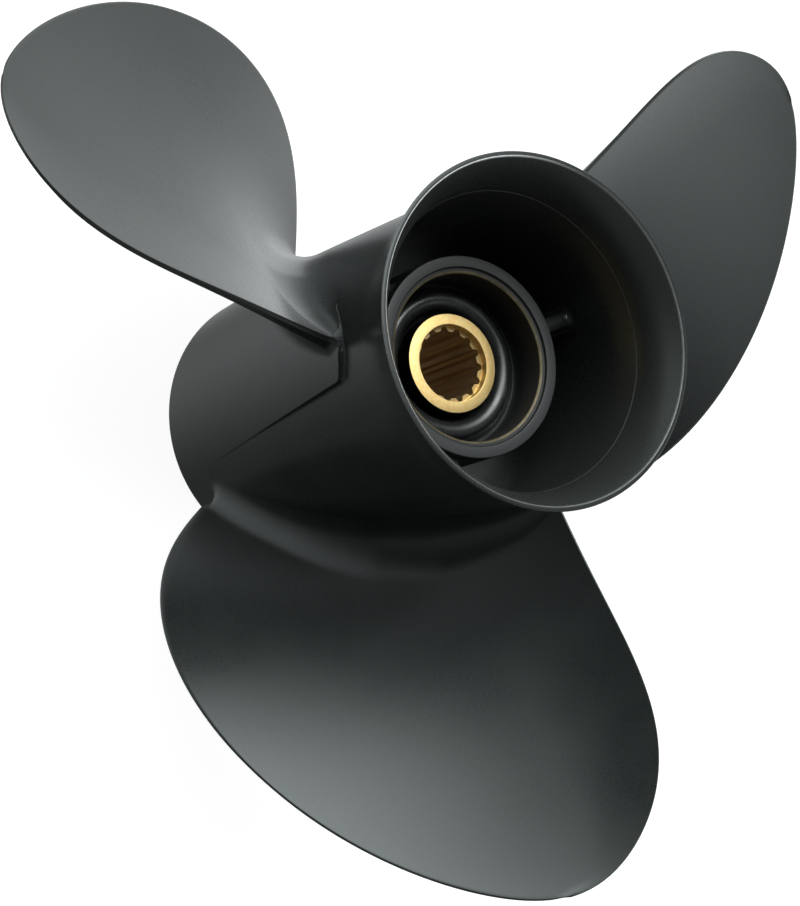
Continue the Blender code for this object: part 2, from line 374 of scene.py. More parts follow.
class Board:
    """The nodes of a material or of the light, with short calls that add and join them."""

    def __init__(self, tree: bpy.types.NodeTree) -> None:
        """Take up the nodes.

        Args:
            tree: The material's or the world's node tree.
        """
        self.nodes = tree.nodes
        self.links = tree.links

    def put(self, socket: Socket, value: object) -> None:
        """Set a socket to a number or colour, or link another socket to it.

        Args:
            socket: The socket to set.
            value: The number, the colour or the other socket.
        """
        if isinstance(value, Socket):
            self.links.new(value, socket)
        else:
            socket.default_value = value

    def maths(self, operation: str, *values: object) -> Socket:
        """Return the result of a Math node.

        Args:
            operation: What the node does.
            values: Its numbers or sockets.

        Returns:
            The result's socket.
        """
        node = self.nodes.new("ShaderNodeMath")
        node.operation = operation
        for socket, value in zip(node.inputs, values):
            self.put(socket, value)
        return node.outputs[0]

    def times(self, product: object, *factors: object) -> Socket:
        """Return numbers or sockets multiplied together.

        Args:
            product: The first of them.
            factors: The others.

        Returns:
            The product's socket.
        """
        for factor in factors:
            product = self.maths("MULTIPLY", product, factor)
        return product

    def dot(self, vector: Socket, direction: Point3) -> Socket:
        """Return the dot product of a vector and a fixed direction.

        Args:
            vector: The vector's socket.
            direction: The direction.

        Returns:
            The product's socket.
        """
        node = self.nodes.new("ShaderNodeVectorMath")
        node.operation = "DOT_PRODUCT"
        self.put(node.inputs[0], vector)
        self.put(node.inputs[1], direction)
        return node.outputs["Value"]

    def spread(self, value: object, span: Point2, to: Sequence[object], soft: bool = False) -> Socket:
        """Return a value carried from one range to another, and held at its ends.

        Args:
            value: The socket to carry over.
            span: Start and end of its range.
            to: What the start and the end become.
            soft: Whether it eases in and out.

        Returns:
            The carried socket.
        """
        node = self.nodes.new("ShaderNodeMapRange")
        node.interpolation_type = "SMOOTHSTEP" if soft else "LINEAR"
        names = ("Value", "From Min", "From Max", "To Min", "To Max")
        for name, number in zip(names, (value, *span, *to)):
            self.put(node.inputs[name], number)
        return node.outputs["Result"]

    def above(self, value: Socket, start: float, width: float = FADE) -> Socket:
        """Return 0 where a value is lower than a start, and 1 where it is higher by a width."""
        return self.spread(value, (start, start + width), RISE)

    def below(self, value: Socket, start: float, width: float = FADE) -> Socket:
        """Return 1 where a value is lower than a start, and 0 where it is higher by a width."""
        return self.spread(value, (start, start + width), FALL)


class FinishBoard(Board):
    """The nodes of a Principled material."""

    def __init__(self, name: str) -> None:
        """Start the material.

        Args:
            name: The material's name.
        """
        self.material = bpy.data.materials.new(name)
        self.material.use_nodes = True
        super().__init__(self.material.node_tree)
        self.shader = self.nodes["Principled BSDF"]
        self.place = self.nodes.new("ShaderNodeTexCoord").outputs["Object"]

    def set_shader(self, **values: object) -> None:
        """Set the shader's sockets, whose names have underscores for spaces."""
        for name, value in values.items():
            self.put(self.shader.inputs[name.replace("_", " ")], value)

    def noise(self, grain: Grain) -> Socket:
        """Return a noise from 0 to 1 on the piece's own coordinates.

        Args:
            grain: The noise's pattern.

        Returns:
            The noise's socket.
        """
        node = self.nodes.new("ShaderNodeTexNoise")
        for name, value in (("Scale", grain.scale), ("Detail", grain.detail), ("Roughness", grain.rough)):
            node.inputs[name].default_value = value
        vector = self.place
        if grain.stretch is not None:
            mapping = self.nodes.new("ShaderNodeMapping")
            mapping.inputs["Scale"].default_value = grain.stretch
            self.links.new(self.place, mapping.inputs["Vector"])
            vector = mapping.outputs["Vector"]
        self.links.new(vector, node.inputs["Vector"])
        return node.outputs["Fac"]

    def blend(self, share: object, first: object, second: object) -> Socket:
        """Return a mix of two colours.

        Args:
            share: How much of the second colour shows.
            first: A colour or socket.
            second: A colour or socket.

        Returns:
            The mixed colour's socket.
        """
        node = self.nodes.new("ShaderNodeMix")
        node.data_type = "RGBA"
        colours = [socket for socket in node.inputs if socket.type == "RGBA"]
        self.put(node.inputs[0], share)
        for socket, colour in zip(colours, (first, second)):
            self.put(socket, (*colour, 1.0) if isinstance(colour, tuple) else colour)
        return [socket for socket in node.outputs if socket.type == "RGBA"][0]

    def bump(self, height: Socket, distance: float) -> None:
        """Let a height roughen the surface, over any bump that it has already.

        Args:
            height: The height's socket.
            distance: How high 1 stands.
        """
        node = self.nodes.new("ShaderNodeBump")
        node.inputs["Distance"].default_value = distance
        self.links.new(height, node.inputs["Height"])
        normal = self.shader.inputs["Normal"]
        if normal.is_linked:
            self.links.new(normal.links[0].from_socket, node.inputs["Normal"])
        self.links.new(node.outputs["Normal"], normal)

    @cached_property
    def parts(self) -> Sequence[Socket]:
        """The x, y and z of a point on the piece."""
        node = self.nodes.new("ShaderNodeSeparateXYZ")
        self.links.new(self.place, node.inputs[0])
        return node.outputs

    @cached_property
    def height(self) -> Socket:
        """The point's height."""
        return self.parts["Z"]

    @cached_property
    def radius(self) -> Socket:
        """The point's distance from the shaft axis."""
        squares = [self.times(self.parts[name], self.parts[name]) for name in "XY"]
        return self.maths("SQRT", self.maths("ADD", *squares))

    def towards(self, azimuth: float) -> Socket:
        """Return the cosine of the point's turn from an azimuth."""
        turn = math.radians(azimuth)
        across = self.dot(self.place, (math.cos(turn), math.sin(turn), 0.0))
        return self.maths("DIVIDE", across, self.radius)

    def turning_marks(self, spacing: float) -> Socket:
        """Return the wave of a lathe's marks, this far apart."""
        return self.maths("SINE", self.times(self.radius, 2.0 * math.pi / spacing))


@dataclass(frozen=True)
class HighlightLip:
    """An edge of the rim with a painted highlight, a line of bare metal: its radius, its depth and how
    bare it is.
    """

    radius: float
    depth: float
    share: float


@dataclass(frozen=True)
class SatinPaint:
    """Black satin paint over cast aluminium, with the faint unevenness of a sprayed coat.

    It is painted paler inside the barrel, a painted light that lightens the shade there, and it has a
    painted highlight along the rim's two edges: lines of bare metal, mostly on one side. The flare's
    middle surface parts the inside from the outside.
    """

    name: str = "black_satin_paint"
    colour: Colour = (0.0115, 0.0135, 0.0132)
    pale_colour: Colour = (0.0160, 0.0185, 0.0180)
    # painted light: paler paint inside the barrel, lightening the shade there
    inside_painted_light_colour: Colour = (0.026, 0.029, 0.028)
    highlight_colour: Colour = (0.90, 0.92, 0.92)
    gloss_tint: Colour = (0.92, 1.0, 0.98)
    coat_weight: float = 0.10
    coat_roughness: float = 0.30
    highlight_roughness: float = 0.20
    patch_roughness: Point2 = (0.27, 0.32)
    grain_roughness: Point2 = (-0.04, 0.04)
    patches: Grain = Grain(22.0, 4.0, 0.55)
    grain: Grain = Grain(1900.0, 2.0, 0.6)
    grain_height: float = 0.0000008
    peel: Grain = Grain(650.0)
    peel_height: float = 0.000003
    bore_radius: float = 0.0503
    flare_growth: float = 0.0069
    flare_depth: float = 0.0195
    # painted highlight: lines of bare metal along the rim's inner and outer edges
    lips: tuple[HighlightLip, ...] = (HighlightLip(0.0562, 0.0006, 0.9), HighlightLip(0.0580, 0.0010, 0.22))
    lip_half_width: Point2 = (0.00018, 0.00034)
    patchiness: Grain = Grain(340.0, 3.0, 0.6)
    patch_span: Point2 = (0.32, 0.62)
    patch_shares: Point2 = (0.78, 1.0)
    highlight_side: float = 222.0
    side_span: Point2 = (0.1, 0.75)
    side_shares: Point2 = (0.12, 1.0)

    def inside(self, board: FinishBoard) -> Socket:
        """Return 1 inside the barrel and 0 outside it.

        Args:
            board: The material's nodes.

        Returns:
            The socket.
        """
        share = board.spread(board.height, (HUB_LENGTH - self.flare_depth, HUB_LENGTH), RISE)
        growth = board.times(board.maths("POWER", share, FLARE_CURVE), self.flare_growth)
        return board.maths("LESS_THAN", board.radius, board.maths("ADD", growth, self.bore_radius))

    def lip_highlight(self, board: FinishBoard) -> Socket:
        """Return the painted highlight along the rim's edges, as how bare they are, from 0 to 1.

        Args:
            board: The material's nodes.

        Returns:
            The socket.
        """
        bare = []
        for lip in self.lips:
            off = board.maths("ABSOLUTE", board.maths("SUBTRACT", board.radius, lip.radius))
            beside = board.spread(off, self.lip_half_width, (lip.share, 0.0))
            bare.append(board.times(beside, board.above(board.height, HUB_LENGTH - lip.depth)))
        # painted highlight: the bare lines are patchy and kept mostly to one side of the rim, where the
        # light catches it
        patchy = board.spread(board.noise(self.patchiness), self.patch_span, self.patch_shares)
        side = board.spread(board.towards(self.highlight_side), self.side_span, self.side_shares, soft=True)
        return board.times(board.maths("MAXIMUM", *bare), side, patchy)

    def make(self) -> Material:
        """Make the material.

        Returns:
            The material.
        """
        board = FinishBoard(self.name)
        patches, grain = board.noise(self.patches), board.noise(self.grain)
        lip_highlight = self.lip_highlight(board)
        cover = board.spread(patches, NOISE_MIDDLE, RISE, soft=True)
        colour = board.blend(cover, self.colour, self.pale_colour)
        # painted light: the barrel's inside is painted paler than its outside, to lighten the shade there
        colour = board.blend(self.inside(board), colour, self.inside_painted_light_colour)
        rough = board.maths("ADD", board.spread(grain, NOISE_BROAD, self.grain_roughness),
                            board.spread(patches, NOISE_BROAD, self.patch_roughness))
        board.set_shader(
            # painted highlight: bare metal along the rim's edges
            Base_Color=board.blend(lip_highlight, colour, self.highlight_colour),
            Metallic=lip_highlight,
            Roughness=board.spread(lip_highlight, RISE, (rough, self.highlight_roughness)),
            Specular_Tint=(*self.gloss_tint, 1.0),
            Coat_Weight=self.coat_weight,
            Coat_Roughness=self.coat_roughness,
        )
        board.bump(board.noise(self.peel), self.peel_height)
        board.bump(grain, self.grain_height)
        return board.material


@dataclass(frozen=True)
class TurnedPaint:
    """The inner hub's finish: grey turned aft face, a bare machined edge whose golden tint is a painted
    reflection of the brass sleeve, and a near-black bore.
    """

    name: str = "turned_face_paint"
    colour: Colour = (0.0130, 0.0152, 0.0148)
    face_colour: Colour = (0.034, 0.037, 0.037)
    # partly painted reflection: a bare machined edge, tinted gold to stand for the brass sleeve's
    # reflection
    bare_edge_reflection_colour: Colour = (0.24, 0.20, 0.115)
    bore_colour: Colour = (0.0150, 0.0165, 0.0165)
    roughness: Point2 = (0.38, 0.52)
    edge_metal: float = 0.6
    face_height: float = HUB_LENGTH - INNER_HUB_DEPTH
    face_margin: float = 0.0003
    face_inner: float = 0.0297
    edge_outer: float = 0.0292
    edge_inner: float = 0.0285
    edge_depth: float = 0.0020
    patchiness: Grain = Grain(260.0, 3.0, 0.6)
    patch_shares: Point2 = (0.55, 1.0)
    turning: Grain = Grain(900.0, 1.0, 0.5, (0.02, 0.02, 1.0))
    mark_spacing: float = 0.00035
    mark_height: float = 0.0000012
    peel: Grain = Grain(700.0)
    peel_height: float = 0.000006

    def make(self) -> Material:
        """Make the material.

        Returns:
            The material.
        """
        board = FinishBoard(self.name)
        on_face = board.times(board.above(board.height, self.face_height - self.face_margin),
                              board.above(board.radius, self.face_inner))
        inside = board.below(board.radius, self.edge_outer)
        on_edge = board.times(inside, board.above(board.radius, self.edge_inner),
                              board.above(board.height, self.face_height - self.edge_depth, 2.0 * FADE))
        patchiness = board.spread(board.noise(self.patchiness), NOISE_MIDDLE, self.patch_shares)
        colour = board.blend(inside, self.colour, self.bore_colour)
        # the edge's gold is a painted reflection of the brass sleeve on bare metal
        colour = board.blend(board.times(on_edge, patchiness), colour, self.bare_edge_reflection_colour)
        board.set_shader(
            Base_Color=board.blend(on_face, colour, self.face_colour),
            Metallic=board.times(on_edge, self.edge_metal),
            Roughness=board.spread(board.noise(self.turning), NOISE_BROAD, self.roughness),
        )
        board.bump(board.noise(self.peel), self.peel_height)
        board.bump(board.times(board.turning_marks(self.mark_spacing), on_face), self.mark_height)
        return board.material


@dataclass(frozen=True)
class BushRubber:
    """Moulded black rubber, a little glossy, with dusty smears."""

    name: str = "bush_rubber_black"
    colour: Colour = (0.0130, 0.0138, 0.0140)
    dusty_colour: Colour = (0.040, 0.040, 0.039)
    dusty_span: Point2 = (0.52, 0.78)
    dustiest: float = 0.8
    rough_span: Point2 = (0.35, 0.75)
    roughness: Point2 = (0.25, 0.43)
    gloss: float = 0.65
    smears: Grain = Grain(120.0, 4.0, 0.6, (1.0, 1.0, 0.35))
    skin: Grain = Grain(420.0, 3.0, 0.6)
    skin_height: float = 0.00002
    waves: Grain = Grain(90.0, 1.0)
    wave_height: float = 0.00003

    def make(self) -> Material:
        """Make the material.

        Returns:
            The material.
        """
        board = FinishBoard(self.name)
        smears = board.noise(self.smears)
        dust = board.spread(smears, self.dusty_span, (0.0, self.dustiest), soft=True)
        board.set_shader(
            Base_Color=board.blend(dust, self.colour, self.dusty_colour),
            Roughness=board.spread(smears, self.rough_span, self.roughness),
            Specular_IOR_Level=self.gloss,
        )
        board.bump(board.noise(self.skin), self.skin_height)
        board.bump(board.noise(self.waves), self.wave_height)
        return board.material


@dataclass(frozen=True)
class SleeveBrass:
    """Machined brass: satin turned end faces, and a splined bore coloured brown near its mouth and
    painted lighter further in, a painted light in the bore's shade.
    """

    name: str = "sleeve_machined_brass"
    colour: Colour = (0.93, 0.64, 0.25)
    pale_colour: Colour = (0.96, 0.77, 0.38)
    mouth_colour: Colour = (0.17, 0.115, 0.065)
    mouth_darkening: float = 0.62
    # painted light: the lighter colour deep in the bore, lightening the shade there
    deep_painted_light_colour: Colour = (0.66, 0.53, 0.37)
    side_colour: Colour = (0.010, 0.009, 0.008)
    roughness: Point2 = (0.51, 0.63)
    deep_polish: float = 0.16
    face_height: float = HUB_LENGTH - SLEEVE_DEPTH
    mouth_radius: float = 0.0130
    side_radius: float = 0.0170
    deep_depths: Point2 = (0.0034, 0.0046)
    marks: Grain = Grain(900.0, 3.0, 0.6)
    mark_spacing: float = 0.00028
    mark_height: float = 0.000003
    skin: Grain = Grain(1500.0, 2.0, 0.6)
    skin_height: float = 0.000006

    def make(self) -> Material:
        """Make the material.

        Returns:
            The material.
        """
        board = FinishBoard(self.name)
        marks = board.noise(self.marks)
        tone = board.blend(board.spread(marks, NOISE_MIDDLE, RISE), self.colour, self.pale_colour)
        inside = board.below(board.radius, self.mouth_radius)
        # painted light: further into the bore the brass is painted lighter than at its mouth, to lighten
        # the shade there
        shallow, full = self.deep_depths
        deep_painted_light = board.times(inside, board.below(board.height, self.face_height - full, full - shallow))
        tone = board.blend(board.times(inside, self.mouth_darkening), tone, self.mouth_colour)
        tone = board.blend(deep_painted_light, tone, self.deep_painted_light_colour)
        bonded = board.times(board.maths("GREATER_THAN", board.radius, self.side_radius),
                             board.maths("LESS_THAN", board.height, self.face_height))
        board.set_shader(
            Base_Color=board.blend(bonded, tone, self.side_colour),
            Metallic=1.0,
            Roughness=board.maths("SUBTRACT", board.spread(marks, NOISE_BROAD, self.roughness),
                                  board.times(deep_painted_light, self.deep_polish)),
        )
        marks = board.times(board.turning_marks(self.mark_spacing), board.spread(deep_painted_light, RISE, FALL))
        board.bump(marks, self.mark_height)
        board.bump(board.noise(self.skin), self.skin_height)
        return board.material


@dataclass(frozen=True)
class StudioFinish:
    """The floor's plain pale surface."""

    name: str = "studio_floor_white"
    colour: Colour = (0.30, 0.30, 0.30)
    glow_colour: Colour = (1.0, 1.0, 1.0)
    glow: float = 0.92
    roughness: float = 0.9

    def make(self) -> Material:
        """Make the material.

        Returns:
            The material.
        """
        board = FinishBoard(self.name)
        board.set_shader(
            Base_Color=(*self.colour, 1.0),
            Roughness=self.roughness,
            Specular_IOR_Level=0.0,
            Emission_Color=(*self.glow_colour, 1.0),
            Emission_Strength=self.glow,
        )
        return board.material


@dataclass
class PartingLine:
    """Where the two mould halves met on the barrel, from one blade's root to the next.

    The corners are angle from the blade's own zero, depth, corner radius, and the length of the
    pieces that lead to the next corner. Under a blade the line follows the root. Behind a blade
    the aft half ends the root at root_depths, one for each of root_angles, and less further from
    the barrel, as the blade's edge leans aft.
    """

    radius: float = 0.0530
    corners: tuple[tuple[float, float, float, float], ...] = (
        (-17.6, 0.0358, 0.0000, 0.0006),
        (-14.0, 0.0357, 0.0030, 0.0006),
        (-9.5, 0.0366, 0.0060, 0.0006),
        (-4.4, 0.0384, 0.0030, 0.0020),
        (7.4, 0.1460, 0.0060, 0.0010),
        (19.5, 0.1555, 0.0015, 0.0010),
        (24.0, 0.1490, 0.0030, 0.0014),
        (60.0, 0.1050, 0.0100, 0.0014),
        (85.0, 0.0670, 0.0100, 0.0014),
        (95.0, 0.0507, 0.0100, 0.0010),
        (102.4, 0.0358, 0.0000, 0.0010),
    )
    root_angles: tuple[float, ...] = (-32.0, -29.0, -25.0, -22.5, -21.0, -19.8, -18.6, -14.0, -9.5)
    root_depths: tuple[float, ...] = (0.0415, 0.0390, 0.0370, 0.0361, 0.0371, 0.0371, 0.0356, 0.0353,
                                      0.0363)
    root_radius: float = 0.0535
    root_lean: float = 0.19
    bend_steps: int = 5

    def sector(self) -> tuple[np.ndarray, np.ndarray]:
        """Return one blade's share of the line, flat on the unrolled barrel.

        Returns:
            The points as distance round and depth, and their directions towards the aft side.
        """
        per_degree = math.radians(self.radius)
        flat = [Corner(angle * per_degree, depth, bend) for angle, depth, bend, _ in self.corners]
        steps = [step for _, _, _, step in self.corners]
        path: list[np.ndarray] = []
        for i, corner in enumerate(flat):
            here = [(corner.across, corner.along)]
            if 0 < i < len(flat) - 1:
                here = round_corners(flat[i - 1:i + 2], closed=False, steps=self.bend_steps)[1:-1]
            if path:
                last = path[-1]
                gap = np.array(here[0]) - last
                pieces = max(1, int(np.linalg.norm(gap) / steps[i - 1]))
                path.extend(last + gap * k / pieces for k in range(1, pieces))
            path.extend(np.array(point) for point in here)
        line = np.array(path)
        whole = math.radians(TURN) * self.radius
        around = np.vstack((line[-2] - (whole, 0.0), line, line[1] + (whole, 0.0)))
        along = unit(around[2:] - around[:-2])
        aft = np.column_stack((along[:, 1], -along[:, 0]))
        return line[:-1], aft[:-1]

    def whole(self) -> tuple[np.ndarray, np.ndarray]:
        """Return the line all round the barrel, closed.

        Returns:
            The points and their directions towards the aft side.
        """
        line, aft = self.sector()
        sector = math.radians(TURN) * self.radius
        lines = [line + (sector * i, 0.0) for i in range(BLADE_COUNT)]
        lines.append(line[:1] + (sector * BLADE_COUNT, 0.0))
        return np.vstack(lines), np.vstack([aft] * BLADE_COUNT + [aft[:1]])

    def depth_behind(self, angle: np.ndarray, radius: np.ndarray) -> np.ndarray:
        """Return the depth where the aft mould half ends a blade's root, at angles and radii."""
        near = np.interp(angle, self.root_angles, self.root_depths)
        return near - self.root_lean * (radius - self.root_radius)


@dataclass
class HubBarrel:
    """The cast barrel: parting step, flared aft rim, throat and bore.

    The two mould halves have radii of their own. The aft half's is drafted, and always less than
    the front half's, by least_step at the first of least_step_depths and by nothing at the last.
    """

    finish: Material
    parting: PartingLine = field(default_factory=PartingLine)
    front_depths: tuple[float, ...] = (0.036, 0.075, 0.110, 0.140, 0.172)
    front_radii: tuple[float, ...] = (0.0537, 0.0540, 0.05385, 0.05295, 0.0518)
    front_chamfer: float = 0.0010
    aft_radius: float = 0.0511
    aft_draft: float = 0.033
    least_step: float = 0.00022
    least_step_depths: Point2 = (0.125, 0.150)
    ease: float = 0.0003
    flare_depth: float = 0.0230
    rim_radius: float = 0.0581
    rim_bevel: float = 0.00005
    mouth_radius: float = 0.0563
    throat_radius: float = 0.0496
    throat_depth: float = 0.0163
    throat_step: float = 0.0003
    outer_lip: float = 0.0004
    inner_lip: float = 0.0005
    throat_round: float = 0.00015
    front_round: float = 0.0004
    crease: float = 0.0002
    aft_bore: float = 0.0493
    front_bore: float = 0.0476
    step_approach: float = 0.0004
    step_brow: float = 0.0002
    step_lean: float = 0.00002
    step_fillet: float = 0.0012
    most_fillet: float = 0.7
    most_brow: float = 0.3
    brow_round: float = 0.3
    front_rows: int = 12
    aft_rows: int = 16
    flare_points: int = 14
    weld_distance: float = 0.0000015
    sharp: float = 28.0

    def front_radius_at(self, depth: np.ndarray) -> np.ndarray:
        """Return the radius of the front mould half's share at a depth."""
        return curve_through(self.front_depths, self.front_radii)(depth)

    def aft_radius_at(self, depth: np.ndarray) -> np.ndarray:
        """Return the radius of the aft mould half's share, which never stands proud of the front's.

        Args:
            depth: Depth below the rim.

        Returns:
            The radius.
        """
        drafted = self.aft_radius + self.aft_draft * (depth - self.flare_depth)
        shy = np.interp(depth, self.least_step_depths, (self.least_step, 0.0))
        front = self.front_radius_at(depth) - shy
        return -self.ease * np.logaddexp(-drafted / self.ease, -front / self.ease)

    def step_rows(self, depth: np.ndarray) -> list[tuple[np.ndarray, np.ndarray]]:
        """Return the step across the parting line, from its crisp edge to its fillet's end.

        Args:
            depth: Depth of each point of the line.

        Returns:
            For each row, how far aft of the line it lies and how far below the front share.
        """
        drop = self.front_radius_at(depth) - self.aft_radius_at(depth)
        level = np.zeros_like(drop)
        bend = np.minimum(self.step_fillet, self.most_fillet * drop)
        brow = np.minimum(self.step_brow, self.most_brow * drop)
        rounded = self.brow_round * brow
        rows = [(level - self.step_approach, level), (-brow, level), (-rounded, rounded),
                (level, brow), (level + self.step_lean, 0.5 * (brow + drop - bend))]
        for turn in QUARTER_TURN:
            rows.append((bend * (1.0 - math.cos(turn)) + 2.0 * self.step_lean,
                         drop - bend * (1.0 - math.sin(turn))))
        return rows

    def outside_rows(self) -> list[np.ndarray]:
        """Work out the barrel's outside.

        Returns:
            Rows of angle, radius and depth, from the front end to the flare.
        """
        line, aft = self.parting.whole()
        step = []
        for offset, drop in self.step_rows(line[:, 1]):
            flat = line + aft * offset[:, None]
            radius = self.front_radius_at(line[:, 1]) - drop
            step.append(np.column_stack((flat[:, 0] / self.parting.radius, radius, flat[:, 1])))
        rows = []
        front = HUB_LENGTH - self.front_chamfer
        first, last = step[0], step[-1]
        for share in np.linspace(0.0, 1.0, self.front_rows + 1)[:-1]:
            depth = front + (first[:, 2] - front) * share
            rows.append(np.column_stack((first[:, 0], self.front_radius_at(depth), depth)))
        rows.extend(step)
        for share in np.linspace(0.0, 1.0, self.aft_rows + 1)[1:]:
            depth = last[:, 2] + (self.flare_depth - last[:, 2]) * share
            rows.append(np.column_stack((last[:, 0], self.aft_radius_at(depth), depth)))
        return rows

    def rim_rows(self) -> list[Point2]:
        """Work out the rest of the barrel's profile.

        Returns:
            The flare, rim, mouth, throat, bore and front end, as radius and depth.
        """
        outer = flare((self.rim_radius, self.rim_bevel), (self.aft_radius, self.flare_depth),
                      self.flare_points)
        mouth = flare((self.mouth_radius, 0.0), (self.throat_radius, self.throat_depth),
                      self.flare_points)
        rim = [Corner(*outer[1]), Corner(self.rim_radius, self.rim_bevel, self.outer_lip),
               Corner(self.mouth_radius, 0.0, self.inner_lip), Corner(*mouth[1])]
        front_radius = self.front_radii[-1]
        neck = [Corner(*mouth[-2]),
                Corner(self.throat_radius, self.throat_depth, self.throat_round),
                Corner(self.aft_bore, self.throat_depth + self.throat_step, self.crease),
                Corner(self.front_bore, HUB_LENGTH, self.front_round),
                Corner(front_radius - self.front_chamfer, HUB_LENGTH, self.crease),
                Corner(front_radius, HUB_LENGTH - self.front_chamfer)]
        return (outer[-2:1:-1] + round_corners(rim, closed=False) + mouth[2:-2]
                + round_corners(neck, closed=False)[:-1])

    def build(self) -> Piece:
        """Model the barrel and dress it.

        Returns:
            The barrel's object.
        """
        rows = self.outside_rows()
        angle = rows[-1][:, 0]
        for radius, depth in self.rim_rows():
            rows.append(np.column_stack((angle, np.full_like(angle, radius),
                                         np.full_like(angle, depth))))
        rows.append(rows[0])
        table = np.array(rows)
        turn = table[..., 0] + math.radians(FIRST_BLADE)
        piece = lay_grid(np.stack((table[..., 1] * np.cos(turn), table[..., 1] * np.sin(turn),
                                   HUB_LENGTH - table[..., 2]), axis=-1))
        weld(piece, self.weld_distance)
        finish_piece(piece, "barrel_casting", self.sharp)
        tie(piece, self.finish, "hub_barrel")
        return piece


